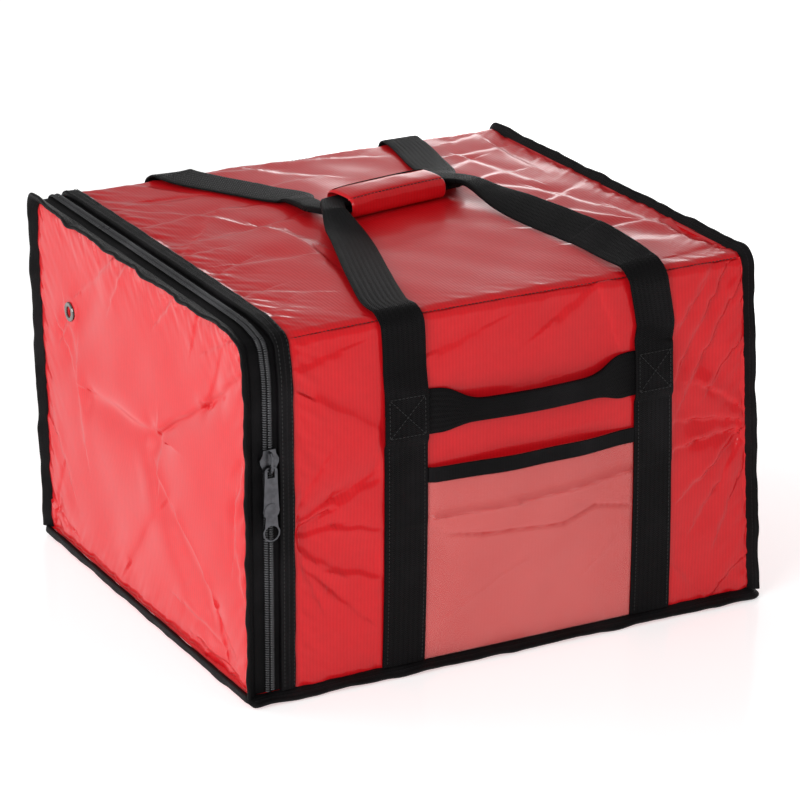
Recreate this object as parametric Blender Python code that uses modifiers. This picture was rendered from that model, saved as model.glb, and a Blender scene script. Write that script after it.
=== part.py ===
"""Soft insulated delivery bag: padded vinyl panels, a zipped end flap, webbing straps and a wrapped grip.

Metres, +Z up. X runs along the front, which faces -Y, and the zipped flap is the -X end.
The origin is on the floor under the middle of the bag.
Each soft piece is first worked out on a straight-sided bag, and settle() then gives the bag its slack shape.
"""

import math

import bmesh
import bpy
from mathutils import Vector

# Body
WIDTH = 0.464
DEPTH = 0.400
HEIGHT = 0.305
WALL = 0.008
SEAM_RISE = 0.006
BELLY_RUN = 0.035
FOLD_RADIUS = 0.010
SEAM_CHAMFER = 0.003
GAP = 0.0003

# Slack shape
SIDE_CROWN = 0.006
END_CROWN = 0.005
TOP_CROWN = 0.003
END_LEAN = 0.016
END_TWIST = 0.5
BACK_LEAN = 0.013
CORNER_SLUMP = 0.006
CORNER_REACH = 0.024
CORNER_RUN = 0.070

# Bindings
BINDING_LENGTH = 0.009
BINDING_THICKNESS = 0.0044
BINDING_CORNER = 0.003
BINDING_DROOP = 25.0
FLAP_FOOT_DROOP = 78.0
FLAP_FOOT_LENGTH = 0.0048

# Zip band, measured from the flap's face
CHAIN_CENTRE = 0.01625
CHAIN_WIDTH = 0.0075
CHAIN_THICKNESS = 0.0026
CHAIN_TAPER = 0.0008
TAPE_START = 0.0035
TAPE_DEPTH = 0.0012
TAPE_THICKNESS = 0.0014
PANEL_START = 0.027
ZIP_BINDING_START = 0.0252
ZIP_BINDING_END = 0.038
ZIP_BINDING_THICKNESS = 0.0024
FLAP_CHAMFER = 0.0015

# Slider and pull
SLIDER_HEIGHT = 0.206
SLIDER_LENGTH = 0.018
SLIDER_WIDTH = 0.0164
SLIDER_PLATE = 0.0018
SLIDER_CLEARANCE = 0.0007
BRIDGE_WIRE = 0.0013
BRIDGE_CLEARANCE = 0.0033
PULL_LENGTH = 0.0623
PULL_THICKNESS = 0.0018
PULL_EYE_WIDTH = 0.0110
PULL_EYE_SLOT = 0.0062
PULL_EYE_LENGTH = 0.0075
PULL_DISC_RADIUS = 0.0070
PULL_DISC_DROP = 0.0355
PULL_RING_RADIUS = 0.0074
PULL_RING_HOLE = 0.0060
PULL_EMBOSS = 0.0004

# Vent eyelet in the flap
EYELET_Y = DEPTH * 0.331
EYELET_Z = HEIGHT * 0.738
EYELET_RADIUS = 0.0085
EYELET_BORE = 0.00475
EYELET_SHELL = 0.0010
EYELET_SEAT = 0.0005

# Webbing
STRAP_WIDTH = 0.038
STRAP_THICKNESS = 0.0020
BUNCH_WIDTH = 0.020
BUNCH_THICKNESS = 0.0055
STRAP_FOOT = 0.0095
FRONT_STRAP_LEFT = -0.098
FRONT_STRAP_RIGHT = 0.131
BACK_STRAP_LEFT = -0.1095
BACK_STRAP_RIGHT = 0.117

# Grip on the straps
GRIP_X = 0.016
GRIP_Y = 0.041
GRIP_LENGTH = 0.100
GRIP_WIDTH = 0.038
GRIP_HEIGHT = 0.021
GRIP_WALL = 0.0040
GRIP_CORNER = 0.007
GRIP_LEAD = 0.008
GRIP_TURN = 9.5

# Side handle between the front straps
HANDLE_Z = HEIGHT * 0.7295
HANDLE_SAG = 0.0035
HANDLE_TUCK = 0.034
HANDLE_STAND = 0.0066
HANDLE_FOLD_WIDTH = 0.0185
HANDLE_FOLD_THICKNESS = 0.0042

# Ticket pocket
POCKET_TOP = 0.1757
POCKET_THICKNESS = 0.0010
POCKET_BOW = 0.0070
POCKET_BINDING = 0.012
POCKET_BINDING_THICKNESS = 0.0016

HALF_WIDTH = WIDTH / 2
HALF_DEPTH = DEPTH / 2
FLAP_FACE = -HALF_WIDTH
BAND_FOOT = STRAP_FOOT
SEAM_GAP = GAP * math.sqrt(0.5)
TAPE_INSET = TAPE_DEPTH + TAPE_THICKNESS + GAP
HANDLE_STEP = STRAP_THICKNESS + GAP
LOWER_BERTH = GAP + GRIP_WALL + GAP
UPPER_BERTH = LOWER_BERTH + BUNCH_THICKNESS + GAP
ARC_STEPS = (45.0, 30.0, 15.0, 0.0)
SLUMP_STEPS = (CORNER_REACH * 0.4, CORNER_REACH * 0.9, CORNER_REACH * 1.5)

# Creases pressed into the outer face of a panel, as shares of its width and height: from, to, half width, depth
CREASES = {
    "front": (
        # across, up, across, up, half width, depth
        (0.09, 0.46, 0.23, 0.57, 0.018, 0.0030),
        (0.09, 0.46, 0.25, 0.44, 0.014, 0.0024),
        (0.09, 0.45, 0.21, 0.33, 0.018, 0.0028),
        (0.09, 0.44, 0.15, 0.22, 0.016, 0.0020),
        (0.98, 0.47, 0.86, 0.58, 0.016, 0.0028),
        (0.98, 0.47, 0.85, 0.46, 0.014, 0.0024),
        (0.98, 0.60, 0.87, 0.75, 0.018, 0.0030),
        (0.98, 0.36, 0.87, 0.24, 0.018, 0.0022),
        (0.35, 0.64, 0.62, 0.62, 0.016, 0.0014),
    ),
    "top": (
        (0.09, 0.30, 0.22, 0.42, 0.020, 0.0026),
        (0.09, 0.62, 0.26, 0.60, 0.020, 0.0026),
        (0.10, 0.86, 0.24, 0.78, 0.020, 0.0020),
        (0.55, 0.72, 0.78, 0.86, 0.024, 0.0024),
        (0.84, 0.30, 0.97, 0.18, 0.022, 0.0024),
        (0.82, 0.66, 0.97, 0.60, 0.022, 0.0020),
    ),
    "flap": (
        (0.41, 0.57, 0.14, 0.79, 0.017, 0.0034),
        (0.45, 0.56, 0.73, 0.54, 0.016, 0.0026),
        (0.43, 0.46, 0.10, 0.09, 0.019, 0.0026),
        (0.70, 0.84, 0.86, 0.58, 0.018, 0.0022),
        (0.52, 0.40, 0.84, 0.20, 0.022, 0.0022),
        (0.07, 0.42, 0.22, 0.30, 0.016, 0.0020),
    ),
    "back": (
        (0.12, 0.40, 0.26, 0.52, 0.026, 0.0028),
        (0.94, 0.48, 0.82, 0.60, 0.026, 0.0028),
        (0.40, 0.70, 0.62, 0.66, 0.030, 0.0020),
    ),
    "sewn_end": (
        (0.06, 0.45, 0.40, 0.62, 0.028, 0.0030),
        (0.94, 0.52, 0.62, 0.40, 0.028, 0.0030),
        (0.50, 0.92, 0.56, 0.66, 0.028, 0.0022),
    ),
}

# A strap's free run from the sewn part to the grip: place across the bag as a share of WIDTH, place on the wrap
# (1 is the top front edge, 2 the top back edge), lift as a share of its berth in the grip, roll, share bunched
FRONT_LEFT_SHARES = (
    # across, wrap, lift, roll, bunch
    (-0.2113, 0.850, 0.02, 0.0, 0.0),
    (-0.2123, 0.930, 0.10, 0.0, 0.0),
    (-0.2144, 0.975, 0.18, 0.0, 0.0),
    (-0.2164, 1.000, 0.20, 0.0, 0.0),
    (-0.2174, 1.020, 0.18, 0.0, 0.0),
    (-0.2164, 1.071, 0.10, -2.0, 0.0),
    (-0.1840, 1.204, 0.05, -6.0, 0.0),
    (-0.1394, 1.366, 0.05, -11.0, 0.0),
    (-0.1211, 1.448, 0.30, -8.0, 0.25),
    (-0.1068, 1.529, 1.00, 0.0, 1.0),
)
FRONT_RIGHT_SHARES = (
    (0.2887, 0.850, 0.02, 0.0, 0.0),
    (0.2799, 0.930, 0.12, 0.0, 0.0),
    (0.2727, 0.975, 0.26, -2.0, 0.0),
    (0.2686, 1.000, 0.32, -4.0, 0.0),
    (0.2654, 1.020, 0.34, -6.0, 0.0),
    (0.2610, 1.071, 0.26, -12.0, 0.0),
    (0.2555, 1.193, 0.12, -18.0, 0.0),
    (0.2392, 1.326, 0.10, -18.0, 0.0),
    (0.2219, 1.458, 0.30, -12.0, 0.15),
    (0.2051, 1.555, 1.00, 0.0, 0.80),
    (0.1900, 1.602, 1.00, 0.0, 1.0),
)
BACK_LEFT_SHARES = (
    (-0.2360, 2.150, 0.02, 0.0, 0.0),
    (-0.2356, 2.070, 0.30, 0.0, 0.0),
    (-0.2346, 2.025, 0.50, 0.0, 0.0),
    (-0.2336, 2.000, 0.55, 0.0, 0.0),
    (-0.2306, 1.982, 0.50, 0.0, 0.0),
    (-0.2083, 1.923, 0.20, 0.0, 0.0),
    (-0.1516, 1.821, 0.05, 0.0, 0.0),
    (-0.1050, 1.728, 0.10, 0.0, 0.20),
    (-0.1080, 1.673, 0.60, 0.0, 0.90),
    (-0.1107, 1.614, 1.00, 0.0, 1.0),
)
BACK_RIGHT_SHARES = (
    (0.2613, 2.150, 0.02, 0.0, 0.0),
    (0.2622, 2.070, 0.30, 0.0, 0.0),
    (0.2620, 2.025, 0.50, 0.0, 0.0),
    (0.2612, 2.000, 0.55, 0.0, 0.0),
    (0.2595, 1.982, 0.50, 0.0, 0.0),
    (0.2508, 1.914, 0.20, 0.0, 0.0),
    (0.2301, 1.821, 0.05, 0.0, 0.0),
    (0.2158, 1.750, 0.10, 0.0, 0.25),
    (0.2008, 1.687, 0.60, 0.0, 0.90),
    (0.1914, 1.634, 1.00, 0.0, 1.0),
)

# The side handle from one strap's middle to the other's: place along it, stand-off and fold as shares
HANDLE_SHARES = (
    # along, stand, fold
    (0.0, 0.0, 0.0),
    (0.09, 0.0, 0.0),
    (0.15, 0.02, 0.0),
    (0.20, 0.22, 0.15),
    (0.26, 0.60, 0.80),
    (0.32, 0.85, 1.0),
    (0.50, 1.0, 1.0),
    (0.66, 0.85, 1.0),
    (0.73, 0.60, 0.80),
    (0.80, 0.22, 0.10),
    (0.85, 0.02, 0.0),
    (0.91, 0.0, 0.0),
    (1.0, 0.0, 0.0),
)

# Slider outline from its top to its foot: place along it and half width, as shares of its length and width
SLIDER_SHARES = (
    # along, half width
    (0.50, 0.32),
    (0.30, 0.35),
    (0.06, 0.50),
    (-0.12, 0.48),
    (-0.38, 0.34),
    (-0.50, 0.32),
)


def clear_scene():
    """Removes whatever the file opened with."""
    for item in list(bpy.data.objects):
        bpy.data.objects.remove(item, do_unlink=True)


def collection(name):
    """A new collection under the scene's own."""
    made = bpy.data.collections.new(name)
    bpy.context.scene.collection.children.link(made)
    return made


def material(name, colour, roughness, metallic=0.0, alpha=1.0):
    """A plain Principled material."""
    made = bpy.data.materials.new(name)
    made.use_nodes = True
    shader = made.node_tree.nodes["Principled BSDF"]
    shader.inputs["Base Color"].default_value = (*colour, 1.0)
    shader.inputs["Roughness"].default_value = roughness
    shader.inputs["Metallic"].default_value = metallic
    shader.inputs["Alpha"].default_value = alpha
    made.diffuse_color = (*colour, alpha)
    return made


def smooth(share):
    """0 to 1 with level ends."""
    share = min(max(share, 0.0), 1.0)
    return share * share * (3.0 - 2.0 * share)


def mix(low, high, share):
    return low + (high - low) * share


def settle(x, y, z):
    """Where a point of the straight-sided bag lies once its faces have crowned, the top of its sewn end has
    leaned in and of its back has leaned out, and the front corner by the flap has slumped."""
    across = 2 * x / WIDTH
    back = 2 * y / DEPTH
    up = z / HEIGHT
    crown_across = max(0.0, 1.0 - across * across)
    crown_back = max(0.0, 1.0 - back * back)
    crown_up = max(0.0, 1.0 - (2.0 * up - 1.0) ** 2)
    lean = END_LEAN * up * max(0.0, across) ** 2 * (1.0 + END_TWIST * (1.0 + back) / 2)
    corner = ((y + DEPTH / 2) ** 2 + (HEIGHT - z) ** 2) / CORNER_REACH ** 2
    slump = CORNER_SLUMP * math.exp(-corner - ((x + WIDTH / 2) / CORNER_RUN) ** 2)
    return Vector((
        x + END_CROWN * across * crown_back * crown_up - lean,
        y + SIDE_CROWN * back * crown_across * crown_up + BACK_LEAN * up * max(0.0, back) ** 2 + slump,
        z + TOP_CROWN * up * crown_across * crown_back - slump,
    ))


def wrap(place, inset=0.0):
    """The outline of the wrap across the bag at place (0 front foot, 1 top front edge, 2 top back edge,
    3 back foot), inset below its skin: y, z and the outward normal's y and z."""
    if place <= 1.0:
        y, z = -HALF_DEPTH, mix(SEAM_RISE, HEIGHT, place)
    elif place <= 2.0:
        y, z = mix(-HALF_DEPTH, HALF_DEPTH, place - 1.0), HEIGHT
    else:
        y, z = HALF_DEPTH, mix(HEIGHT, SEAM_RISE, place - 2.0)
    core_y = min(max(y, FOLD_RADIUS - HALF_DEPTH), HALF_DEPTH - FOLD_RADIUS)
    core_z = min(z, HEIGHT - FOLD_RADIUS)
    normal = Vector((y - core_y, z - core_z)).normalized()
    reach = FOLD_RADIUS - inset
    return core_y + normal.x * reach, core_z + normal.y * reach, normal.x, normal.y


def front_place(z):
    """The wrap place of a height on the front."""
    return (z - SEAM_RISE) / (HEIGHT - SEAM_RISE)


def back_place(z):
    """The wrap place of a height on the back."""
    return 3.0 - front_place(z)


def top_place(y):
    """The wrap place of a depth on the top."""
    return 1.0 + (y + HALF_DEPTH) / DEPTH


def on_wrap(x, place, lift):
    """A point at a lift over the wrap's skin, on the straight-sided bag."""
    y, z, _, _ = wrap(place, -lift)
    return Vector((x, y, z))


def crease(face, across, up, width, height):
    """How deep the creases press the outer face in at a point given in metres from its lower corner."""
    depth = 0.0
    for across_a, up_a, across_b, up_b, half_width, deepest in CREASES.get(face, ()):
        start = Vector((across_a * width, up_a * height))
        run = Vector((across_b * width, up_b * height)) - start
        offset = Vector((across, up)) - start
        along = min(max(offset.dot(run) / run.length_squared, 0.0), 1.0)
        distance = (offset - run * along).length
        depth = max(depth, deepest * math.exp(-((distance / half_width) ** 2)))
    return depth


def finish(name, bm, home, finish_material, sharp=35.0):
    """Puts a built mesh into the bag's collection, shaded smooth between its sharp edges."""
    bmesh.ops.recalc_face_normals(bm, faces=bm.faces)
    if bm.calc_volume(signed=True) < 0.0:
        bmesh.ops.reverse_faces(bm, faces=bm.faces)
    mesh = bpy.data.meshes.new(name)
    bm.to_mesh(mesh)
    bm.free()
    mesh.shade_smooth()
    mesh.set_sharp_from_angle(angle=math.radians(sharp))
    made = bpy.data.objects.new(name, mesh)
    home.objects.link(made)
    mesh.materials.append(finish_material)
    return made


def slab(name, columns, rows, outer, inner, home, finish_material):
    """A closed sheet: one grid, extruded, whose outer and inner skins are placed by two functions of a
    column and a row, and then settled into the slack shape."""
    bm = bmesh.new()
    bmesh.ops.create_grid(bm, x_segments=len(columns) - 1, y_segments=len(rows) - 1, size=1.0)
    first = list(bm.verts)
    extruded = bmesh.ops.extrude_face_region(bm, geom=list(bm.faces))
    second = [item for item in extruded["geom"] if isinstance(item, bmesh.types.BMVert)]
    for verts, skin in ((first, inner), (second, outer)):
        for vert in verts:
            column = columns[round((vert.co.x + 1.0) / 2 * (len(columns) - 1))]
            row = rows[round((vert.co.y + 1.0) / 2 * (len(rows) - 1))]
            vert.co = settle(*skin(column, row))
    return finish(name, bm, home, finish_material)


def spread(low, high, count):
    """Count places evenly inside an interval, without its ends."""
    return [mix(low, high, (step + 1) / (count + 1)) for step in range(count)]


def seam_lines(edge, inward):
    """A sewn edge's two grid lines: outer place, how far the skin drops there, inner place."""
    return [
        (edge + inward * SEAM_CHAMFER / 2, SEAM_CHAMFER / 2, edge + inward * WALL),
        (edge + inward * SEAM_CHAMFER, 0.0, edge + inward * (WALL + SEAM_CHAMFER)),
    ]


def fold_steps(beyond=()):
    """How far the grid lines of half a folded edge lie from its middle, and any more beyond the fold."""
    fold = [FOLD_RADIUS * (1.0 - math.tan(math.radians(angle))) for angle in ARC_STEPS]
    return fold + [FOLD_RADIUS + step for step in beyond]


def fold_lines(edge, inward, beyond=()):
    """The grid lines round half of a folded edge, from its middle inwards."""
    return [(edge + inward * step, 0.0, edge + inward * step) for step in fold_steps(beyond)]


def lines_between(low_lines, high_lines, count):
    """Grid lines from one edge to the other, given each edge's own lines from the edge inwards."""
    low, high = low_lines[-1], high_lines[-1]
    outer = spread(low[0], high[0], count)
    inner = spread(low[2], high[2], count)
    middle = [(place, 0.0, inside) for place, inside in zip(outer, inner)]
    return low_lines + middle + high_lines[::-1]


def trimmed(value, centre, half):
    """A place drawn in towards the panel's centre, so that its sewn edge clears its neighbour's."""
    return centre + (value - centre) * (1.0 - SEAM_GAP / half)


def wrap_panel(name, face, row_lines, place_of, across_axis, home, finish_material, column_count):
    """The front, top or back panel, from the zip band to the sewn end."""
    start = FLAP_FACE + PANEL_START
    columns = lines_between([(start, 0.0, start)], seam_lines(HALF_WIDTH, -1), column_count)
    ends = (row_lines[0][0], row_lines[-1][0])
    height = max(ends) - min(ends)
    centre = sum(ends) / 2

    def cut(point):
        """Draws the panel's own edges in by the seam gap."""
        point.x = min(point.x, HALF_WIDTH - SEAM_CHAMFER) + max(0.0, point.x - HALF_WIDTH + SEAM_CHAMFER)
        point[across_axis] = trimmed(point[across_axis], centre, height / 2)
        return point

    def outer(column, row):
        x, drop_x, _ = column
        line, drop_line, _ = row
        pressed = crease(face, x + HALF_WIDTH, abs(line - row_lines[0][0]), WIDTH, height)
        held = 0.0 if drop_x or drop_line else pressed
        return cut(on_wrap(x - SEAM_GAP * (x > start), place_of(line), -max(drop_x, drop_line) - held))

    def inner(column, row):
        return cut(on_wrap(column[2] - SEAM_GAP * (column[0] > start), place_of(row[2]), -WALL))

    return slab(name, columns, row_lines, outer, inner, home, finish_material)


def bottom_panel(home, finish_material):
    """The bottom: sewn edges raised off the floor round a flat resting face."""
    columns = lines_between(seam_lines(-HALF_WIDTH, 1), seam_lines(HALF_WIDTH, -1), 7)
    rows = lines_between(seam_lines(-HALF_DEPTH, 1), seam_lines(HALF_DEPTH, -1), 6)

    def belly(x, y):
        edge = min(HALF_WIDTH - abs(x), HALF_DEPTH - abs(y))
        return SEAM_RISE * (1.0 - smooth((edge - SEAM_CHAMFER) / BELLY_RUN))

    def outer(column, row):
        x = trimmed(column[0], 0.0, HALF_WIDTH)
        y = trimmed(row[0], 0.0, HALF_DEPTH)
        return x, y, belly(x, y) + max(column[1], row[1])

    def inner(column, row):
        x = trimmed(column[2], 0.0, HALF_WIDTH)
        y = trimmed(row[2], 0.0, HALF_DEPTH)
        return x, y, belly(column[0], row[0]) + WALL

    return slab("bottom_panel", columns, rows, outer, inner, home, finish_material)


def corner_round(y, z):
    """Draws the square corners at the top of an end panel in to the fold's round outline."""
    core_y = math.copysign(HALF_DEPTH - FOLD_RADIUS, y)
    core_z = HEIGHT - FOLD_RADIUS
    offset = Vector((abs(y) - abs(core_y), z - core_z))
    if min(offset) <= 0.0:
        return y, z
    drawn = offset * (max(offset) / offset.length)
    return core_y + math.copysign(drawn.x, y), core_z + drawn.y


def end_panel(name, side, face, rim, rim_drop, rim_end, inner_rim, slumped, home, finish_material):
    """An end panel: rim is how far its edge lies inside the wrap's outline and rim_drop how far its face
    drops there, and inner_rim the same for its inner edge. slumped is where more grid lines follow the
    slump of its top front corner. Its foot is sewn to the bottom."""
    reach = FOLD_RADIUS - rim
    shrink = (FOLD_RADIUS - inner_rim) / reach
    near = [reach, FOLD_RADIUS - rim_end] + [FOLD_RADIUS * math.tan(math.radians(a)) for a in ARC_STEPS[2:]]

    def round_lines(edge, inward, beyond):
        core = edge + inward * FOLD_RADIUS
        drops = [rim_drop] + [0.0] * (len(near) - 1)
        lines = [(core - inward * far, drop, core - inward * far * shrink) for far, drop in zip(near, drops)]
        return lines + [(core + inward * step, 0.0, core + inward * step) for step in beyond]

    columns = lines_between(round_lines(-HALF_DEPTH, 1, slumped), round_lines(HALF_DEPTH, -1, ()), 8)
    rows = lines_between(seam_lines(SEAM_RISE, 1), round_lines(HEIGHT, -1, slumped), 6)
    centre = (SEAM_RISE + HEIGHT) / 2
    half = HEIGHT - centre

    def outer(column, row):
        y, z = corner_round(column[0], row[0])
        pressed = crease(face, y + HALF_DEPTH, z, DEPTH, HEIGHT)
        held = 0.0 if column[1] or row[1] else pressed
        depth = max(column[1], row[1]) + held
        return side * (HALF_WIDTH - depth), trimmed(y, 0.0, HALF_DEPTH), trimmed(z, centre, half)

    def inner(column, row):
        y, z = corner_round(column[2], row[2])
        return side * (HALF_WIDTH - WALL), trimmed(y, 0.0, HALF_DEPTH), trimmed(z, centre, half)

    return slab(name, columns, rows, outer, inner, home, finish_material)


def band_rows():
    """Wrap places of a band that runs from one foot over the top to the other."""
    foot = front_place(BAND_FOOT)
    climb = [1.0 - step / (HEIGHT - SEAM_RISE) for step in fold_steps(SLUMP_STEPS)]
    front = [1.0 + step / DEPTH for step in fold_steps(SLUMP_STEPS)]
    back = [2.0 - step / DEPTH for step in fold_steps()]
    descent = [2.0 + step / (HEIGHT - SEAM_RISE) for step in fold_steps()]
    rows = [foot] + spread(foot, climb[-1], 4) + climb[:0:-1]
    rows += front + spread(front[-1], back[-1], 5) + back[:0:-1]
    return rows + descent + spread(descent[-1], 3.0 - foot, 4) + [3.0 - foot]


def band(name, start, end, low, high, taper, home, finish_material):
    """A flat band round the wrap beside the flap, between two lifts over the skin."""
    columns = ((FLAP_FACE + start, 1), (FLAP_FACE + end, -1))

    def outer(column, row):
        return on_wrap(column[0] + column[1] * taper, row, high)

    def inner(column, row):
        return on_wrap(column[0], row, low)

    return slab(name, columns, band_rows(), outer, inner, home, finish_material)


def end_binding(name, edge, side, base, home, finish_material):
    """The folded tape over an end's turned-out seam: a flange that stands out cornerwise round three sides.
    base is the sum of the distances from the end's face and from the wrap's skin at its root."""
    diagonal = math.sqrt(0.5)
    columns = (0.0, 0.5, 1.0)

    def skin(column, row, half):
        out = column * BINDING_LENGTH * diagonal - base / 2
        across = half * BINDING_THICKNESS / 2 * diagonal * (0.8 if column == 1.0 else 1.0)
        return on_wrap(edge + side * (out - across), row, out + across)

    def outer(column, row):
        return skin(column, row, 1)

    def inner(column, row):
        return skin(column, row, -1)

    return slab(name, columns, band_rows(), outer, inner, home, finish_material)


def bottom_binding(home, finish_material):
    """The folded tape round the bottom seam, in one run whose ends meet at the middle of the back.
    It stands out a little below level, but is turned down along the flap's foot."""
    centres = (
        # core of each rounded corner, and the angle its arc starts from
        (HALF_WIDTH, HALF_DEPTH, 90.0),
        (HALF_WIDTH, -HALF_DEPTH, 0.0),
        (-HALF_WIDTH, -HALF_DEPTH, -90.0),
        (-HALF_WIDTH, HALF_DEPTH, -180.0),
    )
    path = [(GAP / 2, HALF_DEPTH, 90.0)]
    for x, y, start in centres:
        core_x = x - math.copysign(BINDING_CORNER, x)
        core_y = y - math.copysign(BINDING_CORNER, y)
        for step in range(5):
            angle = start - 22.5 * step
            turn = math.radians(angle)
            path.append((
                core_x + BINDING_CORNER * math.cos(turn),
                core_y + BINDING_CORNER * math.sin(turn),
                angle,
            ))
    path.append((-GAP / 2, HALF_DEPTH, -270.0))
    rows = []
    for (x_a, y_a, angle_a), (x_b, y_b, angle_b) in zip(path, path[1:]):
        count = max(1, round(math.hypot(x_b - x_a, y_b - y_a) / 0.08))
        rows += [(mix(x_a, x_b, n / count), mix(y_a, y_b, n / count), angle_a) for n in range(count)]
    rows.append(path[-1])

    def skin(column, row, half):
        x, y, angle = row
        turn = math.radians(angle)
        by_flap = smooth(max(0.0, -math.cos(turn)))
        droop = math.radians(mix(BINDING_DROOP, FLAP_FOOT_DROOP, by_flap))
        length = mix(BINDING_LENGTH, FLAP_FOOT_LENGTH, by_flap)
        along = Vector((math.cos(droop), -math.sin(droop)))
        across = Vector((math.sin(droop), math.cos(droop)))
        root = Vector((GAP, SEAM_CHAMFER - GAP)) - across * BINDING_THICKNESS / 2
        root.x = max(root.x, GAP + BINDING_THICKNESS / 2 * math.sin(droop) * by_flap)
        thick = half * BINDING_THICKNESS / 2 * (0.8 if column == 1.0 else 1.0)
        out, up = root + along * column * length + across * thick
        return x + out * math.cos(turn), y + out * math.sin(turn), SEAM_RISE + up

    def outer(column, row):
        return skin(column, row, 1)

    def inner(column, row):
        return skin(column, row, -1)

    return slab("bottom_binding", (0.0, 0.5, 1.0), rows, outer, inner, home, finish_material)


def catmull(rows, index, share):
    """A smooth value of every column between two rows of a table."""
    before = rows[max(index - 1, 0)]
    start = rows[index]
    end = rows[index + 1]
    after = rows[min(index + 2, len(rows) - 1)]
    values = []
    for p, a, b, n in zip(before, start, end, after):
        slope_a = (b - p) / 2
        slope_b = (n - a) / 2
        cubic = (2 * a - 2 * b + slope_a + slope_b) * share ** 3
        square = (3 * b - 3 * a - 2 * slope_a - slope_b) * share ** 2
        values.append(cubic + square + slope_a * share + a)
    return values


def ribbon(name, stations, home, finish_material):
    """Webbing along stations of (x, wrap place, lift of its underside, roll, width, thickness)."""
    centres = []
    normals = []
    for x, place, lift, roll, width, thickness in stations:
        tilt = abs(math.sin(math.radians(roll))) * width / 2
        centres.append(on_wrap(x, place, lift + tilt + thickness / 2))
        _, _, normal_y, normal_z = wrap(place)
        normals.append(Vector((0.0, normal_y, normal_z)))
    rows = range(len(stations))

    def corner(column, row, half):
        ahead = centres[min(row + 1, len(stations) - 1)]
        behind = centres[max(row - 1, 0)]
        side = (ahead - behind).cross(normals[row]).normalized()
        face = side.cross((ahead - behind).normalized()).normalized()
        roll = math.radians(stations[row][3])
        across = side * math.cos(roll) + face * math.sin(roll)
        out = face * math.cos(roll) - side * math.sin(roll)
        width, thickness = stations[row][4:]
        return centres[row] + across * column * width / 2 + out * half * thickness / 2

    def outer(column, row):
        return corner(column, row, 1)

    def inner(column, row):
        return corner(column, row, -1)

    return slab(name, (-1, 1), rows, outer, inner, home, finish_material)


def sewn_run(x, place_of, over_handle):
    """A strap's sewn stretch from its foot to the top of its stitching, stepping over the handle's end."""
    step = HANDLE_STEP if over_handle else 0.0
    low = HANDLE_Z - STRAP_WIDTH / 2
    high = HANDLE_Z + STRAP_WIDTH / 2
    ramp = STRAP_THICKNESS * 3
    marks = (
        (STRAP_FOOT, 0.0),
        (mix(STRAP_FOOT, low, 0.25), 0.0),
        (mix(STRAP_FOOT, low, 0.50), 0.0),
        (mix(STRAP_FOOT, low, 0.75), 0.0),
        (low - ramp, 0.0),
        (low - ramp / 4, step),
        (HANDLE_Z, step),
        (high + ramp / 4, step),
        (high + ramp, step * 0.6),
    )
    return [(x, place_of(z), GAP + lift, 0.0, STRAP_WIDTH, STRAP_THICKNESS) for z, lift in marks]


def free_run(rows, berth):
    """A strap's free stretch, smoothed between the rows of its table."""
    stations = []
    for index in range(len(rows) - 1):
        for share in (0.0, 0.5):
            stations.append(catmull(rows, index, share))
    stations.append(rows[-1])
    made = []
    for across, place, lift, roll, bunch in stations:
        bunch = min(max(bunch, 0.0), 1.0)
        lift = max(lift, 0.0)
        made.append((
            across * WIDTH, place, GAP + lift * (berth - GAP), roll,
            mix(STRAP_WIDTH, BUNCH_WIDTH, bunch), mix(STRAP_THICKNESS, BUNCH_THICKNESS, bunch),
        ))
    return made


def grip_run(berth):
    """A strap's stretch inside the grip, with a straight lead at each end."""
    turn = math.radians(GRIP_TURN)
    reach = GRIP_LENGTH / 2 + GRIP_LEAD
    made = []
    for along in [-reach] + spread(-reach, reach, 5) + [reach]:
        x = GRIP_X + along * math.cos(turn)
        y = GRIP_Y + along * math.sin(turn)
        made.append((x, top_place(y), berth, 0.0, BUNCH_WIDTH, BUNCH_THICKNESS))
    return made


def strap(name, left_x, right_x, left, right, berth, place_of, over_handle, home, finish_material):
    """One strap: up one side, through the grip and down the other side, as a single loop of webbing."""
    stations = sewn_run(left_x, place_of, over_handle)
    stations += free_run(left, berth)
    stations += grip_run(berth)
    stations += free_run(right, berth)[::-1]
    stations += sewn_run(right_x, place_of, over_handle)[::-1]
    return ribbon(name, stations, home, finish_material)


def side_handle(home, finish_material):
    """The handle between the front straps: flat under their stitching, folded in half and standing off between."""
    start = FRONT_STRAP_LEFT - STRAP_WIDTH / 2 + (STRAP_WIDTH - HANDLE_TUCK)
    end = FRONT_STRAP_RIGHT + STRAP_WIDTH / 2 - (STRAP_WIDTH - HANDLE_TUCK)
    stations = []
    for index in range(len(HANDLE_SHARES) - 1):
        for share in (0.0, 0.5):
            along, stand, fold = catmull(HANDLE_SHARES, index, share)
            stations.append((along, max(stand, 0.0), min(max(fold, 0.0), 1.0)))
    stations.append(HANDLE_SHARES[-1])
    made = []
    for along, stand, fold in stations:
        height = HANDLE_Z - HANDLE_SAG * stand
        made.append((
            mix(start, end, along), front_place(height), GAP + HANDLE_STAND * stand, 0.0,
            mix(STRAP_WIDTH - 2 * GAP, HANDLE_FOLD_WIDTH, fold),
            mix(STRAP_THICKNESS, HANDLE_FOLD_THICKNESS, fold),
        ))
    return ribbon("side_handle", made, home, finish_material)


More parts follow.
